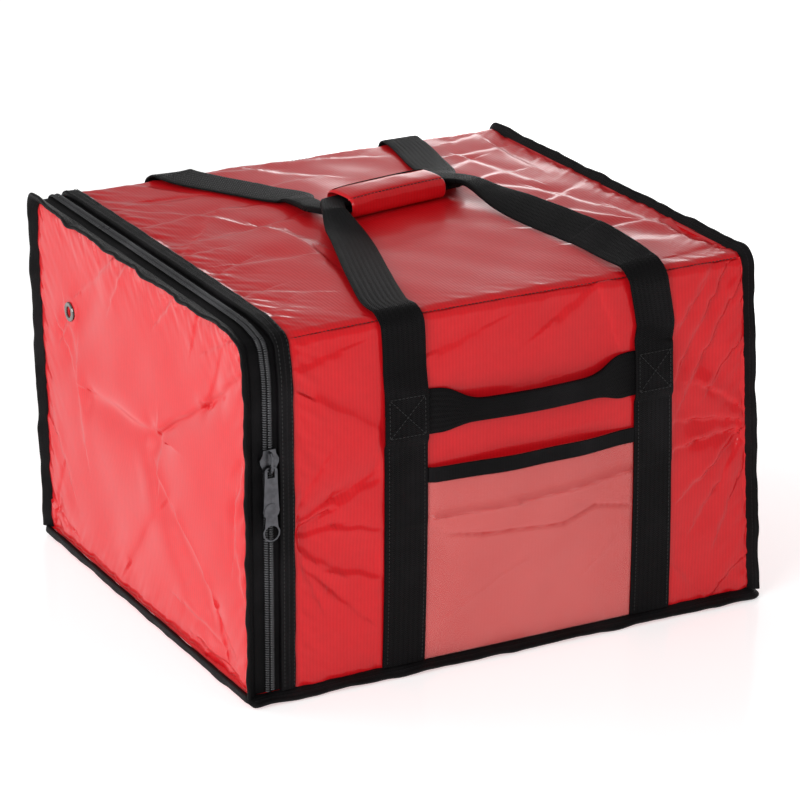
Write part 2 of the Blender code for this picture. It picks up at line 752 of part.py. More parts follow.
def grip(home, finish_material):
    """The padded wrap round both straps, rolled from one piece whose edges meet along its upper back."""
    turn = math.radians(GRIP_TURN)
    half_width = GRIP_WIDTH / 2
    corners = (
        # which way the rounded corner lies, across and up, and the angle its arc starts from
        (1, 1, 90.0),
        (-1, 1, 180.0),
        (-1, -1, 270.0),
        (1, -1, 360.0),
    )
    outline = []
    for across, up, start in corners[:1]:
        outline.append((across, up, start - 45.0 + 3.0))
        outline.append((across, up, start))
    for across, up, start in corners[1:]:
        outline += [(across, up, start - 90.0 + step) for step in (0.0, 45.0, 90.0)]
    outline.append((1, 1, 360.0))
    outline.append((1, 1, 360.0 + 45.0 - 3.0))
    rows = [mix(-0.5, 0.5, step / 6) for step in range(7)]

    def skin(column, row, inset):
        across, up, angle = column
        angle = math.radians(angle)
        pinch = 1.0 - 0.10 * (2 * row) ** 4
        reach = GRIP_CORNER - inset
        side = across * (half_width - GRIP_CORNER) + reach * math.cos(angle)
        rise = up * (GRIP_HEIGHT / 2 - GRIP_CORNER) + reach * math.sin(angle)
        lift = GAP + GRIP_HEIGHT / 2 + rise * (pinch if rise > 0.0 and inset == 0.0 else 1.0)
        along = row * GRIP_LENGTH
        x = GRIP_X + along * math.cos(turn) - side * math.sin(turn)
        y = GRIP_Y + along * math.sin(turn) + side * math.cos(turn)
        return on_wrap(x, top_place(y), lift)

    def outer(column, row):
        return skin(column, row, 0.0)

    def inner(column, row):
        return skin(column, row, GRIP_WALL)

    return slab("handle_grip", outline, rows, outer, inner, home, finish_material)


def pocket_stand(across, up):
    """How far the pocket's sheet stands off the panel: nothing at its sewn edges, most at its mouth."""
    return GAP + POCKET_BOW * (1.0 - (2.0 * across - 1.0) ** 2) * smooth(up)


def pocket_strip(name, low, high, under, thickness, column_count, row_count, home, finish_material):
    """A strip of the pocket between two heights, lying under above its sheet's own inner face."""
    left = FRONT_STRAP_LEFT + STRAP_WIDTH / 2 + GAP
    right = FRONT_STRAP_RIGHT - STRAP_WIDTH / 2 - GAP
    columns = [step / column_count for step in range(column_count + 1)]
    rows = [mix(low, high, step / row_count) for step in range(row_count + 1)]

    def skin(across, z, lift):
        up = (z - STRAP_FOOT) / (POCKET_TOP - STRAP_FOOT)
        return on_wrap(mix(left, right, across), front_place(z), pocket_stand(across, up) + lift)

    def outer(column, row):
        return skin(column, row, under + thickness)

    def inner(column, row):
        return skin(column, row, under)

    return slab(name, columns, rows, outer, inner, home, finish_material)


def flat_outline(name, points, thickness, home):
    """A plate from a flat closed outline in X and Z, made a mesh so that it can be cut."""
    curve = bpy.data.curves.new(name, "CURVE")
    curve.dimensions = "2D"
    curve.fill_mode = "BOTH"
    curve.extrude = thickness / 2
    spline = curve.splines.new("POLY")
    spline.points.add(len(points) - 1)
    for point, (x, z) in zip(spline.points, points):
        point.co = (x, z, 0.0, 1.0)
    spline.use_cyclic_u = True
    drawn = bpy.data.objects.new(name, curve)
    home.objects.link(drawn)
    drawn.rotation_euler = (math.radians(90.0), 0.0, 0.0)
    return meshed(drawn, home)


def meshed(drawn, home):
    """A curve object as a welded mesh object in the same place."""
    bpy.context.view_layer.update()
    graph = bpy.context.evaluated_depsgraph_get()
    mesh = bpy.data.meshes.new_from_object(drawn.evaluated_get(graph))
    bm = bmesh.new()
    bm.from_mesh(mesh)
    bmesh.ops.remove_doubles(bm, verts=bm.verts, dist=1e-6)
    bmesh.ops.recalc_face_normals(bm, faces=bm.faces)
    bm.to_mesh(mesh)
    bm.free()
    name = drawn.name
    place = drawn.matrix_world.copy()
    bpy.data.objects.remove(drawn, do_unlink=True)
    made = bpy.data.objects.new(name, mesh)
    home.objects.link(made)
    made.matrix_world = place
    return made


def join(target, tool, operation):
    """Adds an exact Boolean of the tool to the target, and hides the tool."""
    modifier = target.modifiers.new(operation.lower() + "_" + tool.name, "BOOLEAN")
    modifier.operation = operation
    modifier.solver = "EXACT"
    modifier.object = tool
    tool.hide_render = True
    tool.display_type = "WIRE"


def block(name, low, high, home):
    """A box between two corners, from a cube."""
    bm = bmesh.new()
    bmesh.ops.create_cube(bm, size=1.0)
    for vert in bm.verts:
        vert.co = [mix(low[axis], high[axis], vert.co[axis] + 0.5) for axis in range(3)]
    mesh = bpy.data.meshes.new(name)
    bm.to_mesh(mesh)
    bm.free()
    made = bpy.data.objects.new(name, mesh)
    home.objects.link(made)
    return made


def round_bar(name, radius, length, place, axis, sides, home):
    """A cylinder of a length centred on a place, along X or Y."""
    bm = bmesh.new()
    bmesh.ops.create_cone(
        bm, cap_ends=True, segments=sides, radius1=radius, radius2=radius, depth=length)
    mesh = bpy.data.meshes.new(name)
    bm.to_mesh(mesh)
    bm.free()
    made = bpy.data.objects.new(name, mesh)
    home.objects.link(made)
    quarter = math.radians(90.0)
    made.rotation_euler = (0.0, quarter, 0.0) if axis == "X" else (quarter, 0.0, 0.0)
    made.location = place
    return made


def slider_place():
    """The middle of the slider on the wrap's skin."""
    return settle(FLAP_FACE + CHAIN_CENTRE, -HALF_DEPTH, SLIDER_HEIGHT)


def slider_lifts():
    """Lifts over the skin of the slider's foot, of its channel's roof, of its plate and of the bridge's wire."""
    foot = SLIDER_CLEARANCE - TAPE_DEPTH
    roof = GAP - TAPE_DEPTH + CHAIN_THICKNESS + GAP
    plate = roof + SLIDER_PLATE
    wire = plate + BRIDGE_CLEARANCE + BRIDGE_WIRE
    return foot, roof, plate, wire


def pull_axis():
    """The line that the pull turns on, through the eye of the slider's bridge."""
    _, _, plate, _ = slider_lifts()
    foot = BRIDGE_WIRE - SLIDER_LENGTH * 0.44
    return slider_place() + Vector((0.0, -plate - BRIDGE_CLEARANCE / 2, foot + PULL_THICKNESS * 0.9))


def zipper_slider(home, cutters, finish_material):
    """The slider: a plate with side walls that straddle the chain, and a wire bridge for the pull."""
    foot, roof, plate, wire = slider_lifts()
    half = [(share * SLIDER_WIDTH, along * SLIDER_LENGTH) for along, share in SLIDER_SHARES]
    outline = half + [(-x, z) for x, z in reversed(half)]
    made = flat_outline("zipper_slider", outline, plate - foot, home)
    place = slider_place()
    made.location = place + Vector((0.0, -(plate + foot) / 2, 0.0))
    reach = CHAIN_WIDTH / 2 + GAP
    channel = block(
        "slider_channel",
        place + Vector((-reach, -roof, -SLIDER_LENGTH)),
        place + Vector((reach, WALL, SLIDER_LENGTH)),
        cutters,
    )
    join(made, channel, "DIFFERENCE")
    curve = bpy.data.curves.new("slider_bridge", "CURVE")
    curve.dimensions = "3D"
    curve.bevel_depth = BRIDGE_WIRE
    curve.bevel_resolution = 2
    curve.use_fill_caps = True
    sunk = plate - SLIDER_PLATE / 2
    route = (
        # lift and place along the slider, from its foot to its head
        (sunk, -0.44),
        (mix(plate, wire, 0.75), -0.43),
        (wire, -0.34),
        (wire, 0.26),
        (mix(plate, wire, 0.75), 0.36),
        (sunk, 0.38),
    )
    spline = curve.splines.new("POLY")
    spline.points.add(len(route) - 1)
    for point, (lift, along) in zip(spline.points, route):
        point.co = (0.0, -lift, along * SLIDER_LENGTH, 1.0)
    drawn = bpy.data.objects.new("slider_bridge", curve)
    cutters.objects.link(drawn)
    drawn.location = place
    join(made, meshed(drawn, cutters), "UNION")
    made.data.materials.append(finish_material)
    return made


def zipper_pull(home, cutters, finish_material):
    """The pull, hanging from its eye: an eye, a body that widens to a raised disc, a neck and a finger ring."""
    eye = PULL_EYE_WIDTH / 2
    top = PULL_THICKNESS / 2
    ring_drop = PULL_LENGTH - top - PULL_RING_RADIUS
    outline = [(eye * math.sin(math.radians(a)), top - 0.6 * eye * (1.0 - math.cos(math.radians(a))))
               for a in (0.0, 30.0, 60.0, 90.0)]
    outline.append((eye, -PULL_EYE_LENGTH - eye / 2))
    for angle in (20.0, 0.0, -25.0, -45.0):
        turn = math.radians(angle)
        outline.append((PULL_DISC_RADIUS * math.cos(turn), PULL_DISC_RADIUS * math.sin(turn) - PULL_DISC_DROP))
    for angle in (40.0, 10.0, -20.0, -50.0, -75.0):
        turn = math.radians(angle)
        outline.append((PULL_RING_RADIUS * math.cos(turn), PULL_RING_RADIUS * math.sin(turn) - ring_drop))
    outline += [(-x, z) for x, z in reversed(outline) if x > 0.0]
    made = flat_outline("zipper_pull", outline, PULL_THICKNESS, home)
    place = pull_axis()
    made.location = place
    deep = PULL_THICKNESS * 4
    slot = block(
        "pull_eye",
        place + Vector((-PULL_EYE_SLOT / 2, -deep, -top - PULL_EYE_LENGTH)),
        place + Vector((PULL_EYE_SLOT / 2, deep, -top)),
        cutters,
    )
    join(made, slot, "DIFFERENCE")
    ring = round_bar(
        "pull_ring_hole", PULL_RING_HOLE, deep, place - Vector((0.0, 0.0, ring_drop)), "Y", 20, cutters)
    join(made, ring, "DIFFERENCE")
    disc = round_bar(
        "pull_disc", PULL_DISC_RADIUS - PULL_EMBOSS * 2, PULL_THICKNESS + 2 * PULL_EMBOSS,
        place - Vector((0.0, 0.0, PULL_DISC_DROP)), "Y", 20, cutters)
    join(made, disc, "UNION")
    made.data.materials.append(finish_material)
    return made


def vent_eyelet(home, finish_material):
    """The turned metal eyelet through the flap, from a closed profile round its own axis."""
    barrel = EYELET_BORE + EYELET_SHELL
    outside = EYELET_SEAT + EYELET_SHELL
    inside = -WALL - EYELET_SEAT - EYELET_SHELL
    profile = (
        # radius and lift over the flap's face, down the outer side and back up the bore
        (EYELET_BORE + EYELET_SHELL / 2, outside),
        (EYELET_RADIUS - EYELET_SHELL / 2, outside),
        (EYELET_RADIUS, EYELET_SEAT),
        (barrel, EYELET_SEAT),
        (barrel, -WALL - EYELET_SEAT),
        (EYELET_RADIUS, -WALL - EYELET_SEAT),
        (EYELET_RADIUS - EYELET_SHELL / 2, inside),
        (EYELET_BORE + EYELET_SHELL / 2, inside),
        (EYELET_BORE, inside + EYELET_SHELL / 2),
        (EYELET_BORE, outside - EYELET_SHELL / 2),
    )
    mesh = bpy.data.meshes.new("vent_eyelet")
    edges = [(index, (index + 1) % len(profile)) for index in range(len(profile))]
    mesh.from_pydata([(radius, 0.0, lift) for radius, lift in profile], edges, [])
    mesh.materials.append(finish_material)
    made = bpy.data.objects.new("vent_eyelet", mesh)
    home.objects.link(made)
    turned = made.modifiers.new("turned", "SCREW")
    turned.angle = math.radians(360.0)
    turned.axis = "Z"
    turned.steps = 20
    turned.render_steps = 20
    turned.use_merge_vertices = True
    turned.merge_threshold = 1e-5
    made.rotation_euler = (0.0, math.radians(-90.0), 0.0)
    made.location = settle(FLAP_FACE, EYELET_Y, EYELET_Z)
    return made


def build():
    """Models the whole bag."""
    clear_scene()
    bag = collection("delivery_bag")
    cutters = collection("cutters")
    red = material("red_vinyl", (0.62, 0.02, 0.03), 0.35)
    tape = material("black_tape", (0.015, 0.015, 0.018), 0.6)
    webbing = material("black_webbing", (0.02, 0.02, 0.022), 0.75)
    sheet = material("clear_sheet", (0.85, 0.45, 0.45), 0.12, alpha=0.35)
    metal = material("grey_metal", (0.55, 0.55, 0.58), 0.3, metallic=1.0)

    foot = seam_lines(SEAM_RISE, 1)
    wall_rows = lines_between(foot, fold_lines(HEIGHT, -1, SLUMP_STEPS), 10)
    back_rows = lines_between(foot, fold_lines(HEIGHT, -1), 6)
    top_rows = lines_between(fold_lines(-HALF_DEPTH, 1, SLUMP_STEPS), fold_lines(HALF_DEPTH, -1), 9)
    wrap_panel("front_panel", "front", wall_rows, front_place, 2, bag, red, 22)
    wrap_panel("top_panel", "top", top_rows, top_place, 1, bag, red, 16)
    wrap_panel("back_panel", "back", back_rows, back_place, 2, bag, red, 12)
    bottom_panel(bag, red)
    end_panel("sewn_end_panel", 1, "sewn_end", SEAM_CHAMFER / 2, SEAM_CHAMFER / 2, SEAM_CHAMFER, WALL,
              (), bag, red)
    flap = end_panel("flap_panel", -1, "flap", TAPE_INSET, FLAP_CHAMFER, TAPE_INSET + FLAP_CHAMFER, TAPE_INSET,
                     SLUMP_STEPS, bag, red)
    place = settle(FLAP_FACE, EYELET_Y, EYELET_Z)
    hole = round_bar(
        "vent_hole", EYELET_BORE + EYELET_SHELL + GAP, 4 * WALL, place, "X", 20, cutters)
    join(flap, hole, "DIFFERENCE")
    vent_eyelet(bag, metal)

    chain_low = CHAIN_CENTRE - CHAIN_WIDTH / 2
    chain_high = CHAIN_CENTRE + CHAIN_WIDTH / 2
    tape_low = -TAPE_DEPTH - TAPE_THICKNESS
    band("zipper_tape_flap", TAPE_START, CHAIN_CENTRE - GAP / 2, tape_low, -TAPE_DEPTH, 0.0, bag, tape)
    band("zipper_tape_body", CHAIN_CENTRE + GAP / 2, PANEL_START - GAP, tape_low, -TAPE_DEPTH, 0.0, bag, tape)
    band("zipper_chain", chain_low, chain_high, GAP - TAPE_DEPTH, GAP - TAPE_DEPTH + CHAIN_THICKNESS,
         CHAIN_TAPER, bag, tape)
    band("zipper_binding", ZIP_BINDING_START, ZIP_BINDING_END, GAP, GAP + ZIP_BINDING_THICKNESS,
         GAP, bag, tape)
    end_binding("flap_binding", -HALF_WIDTH, -1, TAPE_INSET + FLAP_CHAMFER - GAP * math.sqrt(2), bag, tape)
    end_binding("sewn_end_binding", HALF_WIDTH, 1, SEAM_CHAMFER - GAP * math.sqrt(2), bag, tape)
    bottom_binding(bag, tape)
    zipper_slider(bag, cutters, metal)
    zipper_pull(bag, cutters, metal)

    strap("front_strap", FRONT_STRAP_LEFT, FRONT_STRAP_RIGHT, FRONT_LEFT_SHARES, FRONT_RIGHT_SHARES,
          UPPER_BERTH, front_place, True, bag, webbing)
    strap("back_strap", BACK_STRAP_LEFT, BACK_STRAP_RIGHT, BACK_LEFT_SHARES, BACK_RIGHT_SHARES,
          LOWER_BERTH, back_place, False, bag, webbing)
    grip(bag, red)
    side_handle(bag, webbing)
    pocket_strip("ticket_pocket", STRAP_FOOT, POCKET_TOP, 0.0, POCKET_THICKNESS, 12, 8, bag, sheet)
    pocket_strip("pocket_binding", POCKET_TOP - POCKET_BINDING, POCKET_TOP, POCKET_THICKNESS + GAP,
                 POCKET_BINDING_THICKNESS, 12, 1, bag, tape)


build()
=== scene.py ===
"""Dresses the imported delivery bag: ribbed vinyl, folded binding tape, a coil zipper, webbing and a clear pocket.

Every soft surface is first worked out on a straight-sided bag and then moved by settle(), the slack shape
that the solids have too. Metres, +Z up, front at -Y, zipped flap at -X.
"""

import math

import bpy
import numpy as np
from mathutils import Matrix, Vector


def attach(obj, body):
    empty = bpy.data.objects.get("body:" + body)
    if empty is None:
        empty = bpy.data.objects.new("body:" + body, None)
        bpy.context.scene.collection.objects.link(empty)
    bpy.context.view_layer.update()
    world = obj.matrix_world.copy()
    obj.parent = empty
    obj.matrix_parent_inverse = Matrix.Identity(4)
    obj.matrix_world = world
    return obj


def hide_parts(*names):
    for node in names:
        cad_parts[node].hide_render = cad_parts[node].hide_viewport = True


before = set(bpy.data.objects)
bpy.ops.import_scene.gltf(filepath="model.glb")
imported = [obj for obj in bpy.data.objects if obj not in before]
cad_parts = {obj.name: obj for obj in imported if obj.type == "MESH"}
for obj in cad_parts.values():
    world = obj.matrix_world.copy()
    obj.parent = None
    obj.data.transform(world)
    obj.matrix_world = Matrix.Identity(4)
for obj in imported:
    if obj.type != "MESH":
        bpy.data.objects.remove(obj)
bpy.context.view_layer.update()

bl_info = {
    "name": "Delivery bag dressing",
    "version": (1, 0, 0),
    "blender": (4, 5, 0),
    "location": "3D View > Sidebar > Delivery bag",
    "description": "Builds the soft pieces, zipper and finishes of an insulated delivery bag",
    "category": "Object",
}

# Sizes of the solids that the surfaces follow
WIDTH = 0.464
DEPTH = 0.400
HEIGHT = 0.305
HALF_WIDTH = WIDTH / 2
HALF_DEPTH = DEPTH / 2
WALL = 0.008
SEAM_RISE = 0.006
BELLY_RUN = 0.035
FOLD_RADIUS = 0.010
SEAM_CHAMFER = 0.003
GAP = 0.0003
SIDE_CROWN = 0.006
END_CROWN = 0.005
TOP_CROWN = 0.003
END_LEAN = 0.016
END_TWIST = 0.5
BACK_LEAN = 0.013
CORNER_SLUMP = 0.006
CORNER_REACH = 0.024
CORNER_RUN = 0.070
BINDING_LENGTH = 0.009
BINDING_THICKNESS = 0.0044
CHAIN_CENTRE = 0.01625
PANEL_START = 0.027
ZIP_BINDING_START = 0.0252
ZIP_BINDING_END = 0.038
STRAP_WIDTH = 0.038
STRAP_THICKNESS = 0.0020
STRAP_FOOT = 0.0095
LAP_THICKNESS = 0.0007
FRONT_STRAPS = (-0.098, 0.131)
BACK_STRAPS = (-0.1095, 0.117)
GRIP_X = 0.016
GRIP_Y = 0.041
GRIP_LENGTH = 0.100
GRIP_WIDTH = 0.038
GRIP_HEIGHT = 0.021
GRIP_TURN = 9.5
HANDLE_Z = HEIGHT * 0.7295
POCKET_TOP = 0.1757
POCKET_MIDDLE = 0.0165
EYELET_PLACE = (DEPTH * 0.331, HEIGHT * 0.738)
VENT_RADIUS = 0.0060
MILLI = 0.001
TURN = 2 * math.pi

# Heights over the floor at which the bindings, the zip band, its coils and the threads start
TAPE_FOOT = 0.0088
ZIP_FOOT = 0.0095
COIL_FOOT = 0.0115
THREAD_FOOT = 0.012

# Webbing where it is bunched in the grip and where it is folded as a handle, and how far the straps stand off
BUNCH_WIDTH = 0.020
BUNCH_THICKNESS = 0.0055
FOLDED_WIDTH = 0.0185
FOLDED_THICKNESS = 0.0042
FRONT_BERTH = 0.0104
BACK_BERTH = 0.0046
HANDLE_STEP = 0.0023
HANDLE_TAIL = 0.034
HANDLE_STAND = 0.0066

# Finish of the surfaces
COIL_OFFSET = 0.0022
SECTION_POWER = 3.2
GRIP_PINCH = 0.10
GRIP_WALL = 0.004
FOLD_SPREAD = 1.2
FOLD_FADE = 0.4
TOP_FOLD_SPREAD = 1.4
TOP_FOLD_SHARE = 0.6
THREAD_RADIUS = 0.00036
GRIP_THREAD_RADIUS = 0.00042

# The camera that matches the photograph
CAMERA_PLACE = (-1.439, -2.733, 1.306)
CAMERA_YAW = -27.86
CAMERA_PITCH = 69.49
CAMERA_LENS = 176.8
CAMERA_SENSOR = 36.0

# Folds pressed into each panel: from, to as shares of its width and height, half width, valley and tilt in mm
FOLDS = {
    "front": (
        (0.075, 0.472, 0.163, 0.522, 1.8, 1.4, 0.9), (0.163, 0.522, 0.243, 0.56, 2.2, 1.1, 0.8),
        (0.075, 0.45, 0.152, 0.494, 1.6, 1.5, -0.9), (0.152, 0.494, 0.243, 0.594, 2.0, 1.2, 0.8),
        (0.077, 0.435, 0.163, 0.446, 1.5, 1.2, 0.8), (0.163, 0.446, 0.246, 0.418, 1.5, 1.4, 0.7),
        (0.08, 0.403, 0.162, 0.316, 1.8, -1.2, 0.8), (0.162, 0.316, 0.242, 0.277, 1.8, -1.0, 0.7),
        (0.08, 0.383, 0.147, 0.272, 2.0, 1.2, 0.8), (0.147, 0.272, 0.215, 0.17, 2.0, 0.7, 0.6),
        (0.077, 0.491, 0.134, 0.62, 2.4, 1.0, 0.8), (0.078, 0.42, 0.114, 0.367, 1.8, -1.6, 0.8),
        (0.091, 0.374, 0.124, 0.251, 2.0, 0.9, 0.7), (0.127, 0.804, 0.235, 0.702, 5.0, -0.8, 1.0),
        (0.095, 0.905, 0.169, 0.93, 3.2, 0.7, 0.7), (0.087, 0.82, 0.078, 0.713, 2.2, 0.8, 0.6),
        (0.97, 0.525, 0.88, 0.547, 1.6, 1.7, 0.9), (0.88, 0.547, 0.819, 0.552, 1.8, 0.8, 0.6),
        (0.971, 0.492, 0.882, 0.485, 1.6, 1.8, 0.9), (0.882, 0.485, 0.816, 0.465, 1.6, 1.2, 0.8),
        (0.972, 0.472, 0.909, 0.392, 1.8, 1.5, 0.9), (0.909, 0.392, 0.856, 0.337, 2.0, 0.9, 0.7),
        (0.974, 0.45, 0.927, 0.334, 1.8, 1.3, -0.8), (0.927, 0.334, 0.882, 0.246, 2.0, 0.8, 0.6),
        (0.969, 0.575, 0.912, 0.631, 1.8, 1.4, 0.8), (0.912, 0.631, 0.87, 0.654, 1.8, 0.7, 0.6),
        (0.962, 0.981, 0.919, 0.883, 3.0, 1.5, 1.0), (0.919, 0.883, 0.852, 0.722, 3.6, 1.1, 1.1),
        (0.852, 0.722, 0.817, 0.628, 3.0, 0.8, 0.8), (0.964, 0.871, 0.905, 0.737, 3.2, 1.4, 1.1),
        (0.905, 0.737, 0.862, 0.633, 3.0, 1.0, 0.9), (0.924, 0.99, 0.87, 0.878, 3.4, 0.8, 0.9),
        (0.87, 0.878, 0.822, 0.793, 3.2, 0.6, 0.8), (0.968, 0.727, 0.92, 0.641, 2.4, 1.1, 0.9),
        (0.977, 0.343, 0.933, 0.207, 2.4, 0.9, 0.8), (0.982, 0.102, 0.933, 0.039, 2.4, 0.9, 0.8),
        (0.826, 0.15, 0.887, 0.041, 3.0, 0.6, 0.6), (0.589, 0.921, 0.651, 0.978, 4.0, 0.8, 0.9),
        (0.667, 0.985, 0.701, 0.853, 3.6, 0.9, -0.8), (0.415, 0.731, 0.551, 0.751, 4.0, 0.5, 0.6),
        (0.357, 0.886, 0.433, 0.921, 4.0, 0.4, 0.6),
    ),
    "top": (
        (0.076, 0.498, 0.159, 0.608, 2.6, -1.5, 1.0), (0.159, 0.608, 0.241, 0.723, 2.6, -0.9, 0.8),
        (0.078, 0.511, 0.144, 0.514, 2.0, 1.3, 0.9), (0.104, 0.823, 0.205, 0.731, 2.0, -0.8, 0.6),
        (0.205, 0.731, 0.284, 0.606, 2.0, -0.9, 0.6), (0.284, 0.606, 0.327, 0.431, 2.2, -0.7, 0.6),
        (0.108, 0.714, 0.24, 0.74, 2.0, 0.9, 0.7), (0.24, 0.74, 0.337, 0.734, 1.8, -0.8, 0.6),
        (0.153, 0.582, 0.263, 0.604, 2.2, 0.9, 0.8), (0.263, 0.604, 0.381, 0.638, 2.2, 0.7, 0.7),
        (0.076, 0.37, 0.162, 0.417, 2.4, 1.4, 0.9), (0.162, 0.417, 0.268, 0.395, 2.4, 0.7, 0.7),
        (0.072, 0.236, 0.135, 0.252, 2.2, 1.3, 0.9), (0.135, 0.252, 0.202, 0.197, 2.2, 0.6, 0.6),
        (0.056, 0.072, 0.143, 0.165, 2.2, 1.1, 0.8), (0.097, 0.92, 0.161, 0.85, 2.4, 1.0, 0.8),
        (0.161, 0.85, 0.243, 0.846, 2.2, 0.7, 0.6), (0.103, 0.996, 0.174, 0.985, 2.4, 0.9, 0.8),
        (0.174, 0.985, 0.233, 0.9, 2.0, -0.7, 0.6), (0.187, 0.865, 0.271, 0.845, 1.8, 0.8, -0.6),
        (0.38, 0.826, 0.46, 0.841, 2.0, -0.8, 0.6), (0.336, 0.966, 0.438, 0.936, 2.0, -0.8, 0.6),
        (0.438, 0.936, 0.512, 0.858, 2.0, 0.7, 0.6), (0.406, 1.005, 0.516, 0.971, 2.0, 0.8, 0.6),
        (0.516, 0.971, 0.646, 0.925, 2.0, -0.7, 0.6), (0.299, 0.333, 0.271, 0.087, 4.0, 0.6, 0.8),
        (0.308, 0.487, 0.299, 0.333, 3.0, -0.7, 0.7), (0.713, 0.767, 0.832, 0.811, 2.2, 1.2, 0.9),
        (0.832, 0.811, 0.868, 0.64, 2.2, 1.0, 0.8), (0.717, 0.668, 0.857, 0.696, 2.2, -1.0, 0.8),
        (0.837, 0.858, 0.936, 0.866, 2.2, 1.1, 0.8), (0.936, 0.866, 0.931, 0.733, 2.2, 0.9, 0.8),
        (0.865, 0.944, 0.941, 0.967, 2.2, 1.0, 0.7), (0.785, 0.642, 0.857, 0.55, 2.2, 0.8, 0.7),
        (0.857, 0.55, 0.907, 0.424, 2.4, 0.8, 0.7), (0.809, 0.437, 0.893, 0.339, 2.4, -0.8, 0.7),
        (0.732, 0.331, 0.841, 0.295, 2.4, 0.9, 0.8), (0.841, 0.295, 0.957, 0.285, 2.4, 0.8, 0.7),
        (0.773, 0.202, 0.949, 0.183, 3.0, 0.9, 0.9), (0.839, 0.497, 0.96, 0.567, 2.2, 0.8, 0.7),
        (0.937, 0.359, 0.967, 0.217, 2.4, 0.9, 0.8), (0.967, 0.217, 0.981, 0.074, 2.4, 1.1, 0.8),
        (0.975, 0.078, 0.883, 0.061, 2.4, 0.8, 0.7),
    ),
    "flap": (
        (0.401, 0.579, 0.197, 0.743, 1.6, 2.4, 1.4), (0.197, 0.743, 0.013, 0.903, 1.8, 1.6, 1.0),
        (0.174, 0.759, 0.092, 0.953, 1.6, 0.5, 0.4), (0.402, 0.564, 0.716, 0.552, 4.5, 0.5, -1.7),
        (0.402, 0.564, 0.406, 0.455, 3.0, -0.9, 0.6), (0.406, 0.461, 0.313, 0.373, 2.0, -1.1, 0.5),
        (0.313, 0.379, 0.19, 0.257, 2.0, -1.2, 0.5), (0.199, 0.264, 0.088, 0.123, 2.2, -1.0, 0.4),
        (0.859, 0.701, 0.883, 0.651, 2.0, 1.3, 0.8), (0.888, 0.654, 0.849, 0.595, 1.8, 1.2, 0.8),
        (0.792, 0.584, 0.786, 0.498, 3.4, -1.3, 0.8), (0.786, 0.504, 0.771, 0.393, 3.0, -0.7, 0.7),
        (0.839, 0.686, 0.803, 0.579, 3.4, 0.8, 0.9), (0.554, 0.977, 0.614, 0.863, 2.6, -1.0, 0.5),
        (0.634, 0.962, 0.779, 0.82, 3.4, 0.8, 0.8), (0.343, 0.972, 0.403, 0.887, 1.6, 0.7, 0.6),
        (0.218, 0.974, 0.238, 0.9, 2.0, 0.8, -0.6), (0.064, 0.978, 0.17, 0.902, 2.0, 0.6, 0.5),
        (0.029, 0.644, 0.059, 0.516, 2.4, 1.2, 1.2), (0.059, 0.521, 0.071, 0.388, 2.2, 1.4, 1.1),
        (0.044, 0.402, 0.028, 0.31, 2.4, -0.9, 0.8), (0.293, 0.138, 0.143, 0.111, 2.6, 0.9, 0.8),
        (0.238, 0.068, 0.053, 0.056, 2.0, 1.1, 0.8), (0.15, 0.193, 0.116, 0.103, 2.0, 0.8, -0.7),
        (0.044, 0.032, 0.196, 0.055, 1.8, 0.9, -0.8), (0.929, 0.329, 0.875, 0.233, 2.6, 0.9, 0.8),
        (0.969, 0.108, 0.873, 0.083, 2.2, 1.2, -0.8), (0.96, 0.078, 0.907, 0.243, 2.4, 0.7, 0.6),
        (0.557, 0.14, 0.4, 0.361, 4.0, 0.5, 0.7),
    ),
    "back": (
        (0.1, 0.4, 0.26, 0.52, 2.6, 1.3, 0.9), (0.1, 0.38, 0.22, 0.3, 2.4, 1.1, -0.8),
        (0.98, 0.48, 0.82, 0.6, 2.6, 1.3, 0.9), (0.98, 0.46, 0.85, 0.38, 2.4, 1.1, -0.8),
        (0.4, 0.7, 0.62, 0.66, 3.0, 0.9, 0.7), (0.45, 0.3, 0.64, 0.24, 3.0, 0.8, 0.7),
    ),
    "sewn_end": (
        (0.04, 0.45, 0.4, 0.62, 2.8, 1.3, 0.9), (0.96, 0.52, 0.62, 0.4, 2.8, 1.2, -0.8),
        (0.5, 0.92, 0.56, 0.66, 2.8, 1.0, 0.8), (0.06, 0.12, 0.2, 0.26, 2.6, 1.0, 0.7),
        (0.92, 0.85, 0.78, 0.7, 2.6, 1.0, 0.7),
    ),
    "bottom": ((0.300, 0.300, 0.620, 0.360, 3.0, 0.3, 0.2),),
}

# Broad dents shared with the solids: from, to as shares, half width and depth in mm
DENTS = {
    "front": (
        (0.09, 0.46, 0.23, 0.57, 18.0, 1.8), (0.09, 0.45, 0.21, 0.33, 18.0, 1.7),
        (0.98, 0.47, 0.86, 0.58, 16.0, 1.7), (0.98, 0.6, 0.87, 0.75, 18.0, 1.8),
        (0.98, 0.36, 0.87, 0.24, 18.0, 1.3),
    ),
    "top": (
        (0.09, 0.3, 0.22, 0.42, 20.0, 1.6), (0.09, 0.62, 0.26, 0.6, 20.0, 1.6),
        (0.55, 0.72, 0.78, 0.86, 24.0, 1.5), (0.84, 0.3, 0.97, 0.18, 22.0, 1.5),
    ),
    "flap": (
        (0.41, 0.57, 0.14, 0.79, 17.0, 2.0), (0.45, 0.56, 0.73, 0.54, 16.0, 1.6),
        (0.43, 0.46, 0.1, 0.09, 19.0, 1.6), (0.7, 0.84, 0.86, 0.58, 18.0, 1.3), (0.52, 0.4, 0.84, 0.2, 22.0, 1.3),
    ),
    "back": ((0.12, 0.40, 0.26, 0.52, 26.0, 1.7), (0.94, 0.48, 0.82, 0.60, 26.0, 1.7)),
    "sewn_end": ((0.06, 0.45, 0.40, 0.62, 28.0, 1.8), (0.94, 0.52, 0.62, 0.40, 28.0, 1.8)),
    "bottom": (),
}

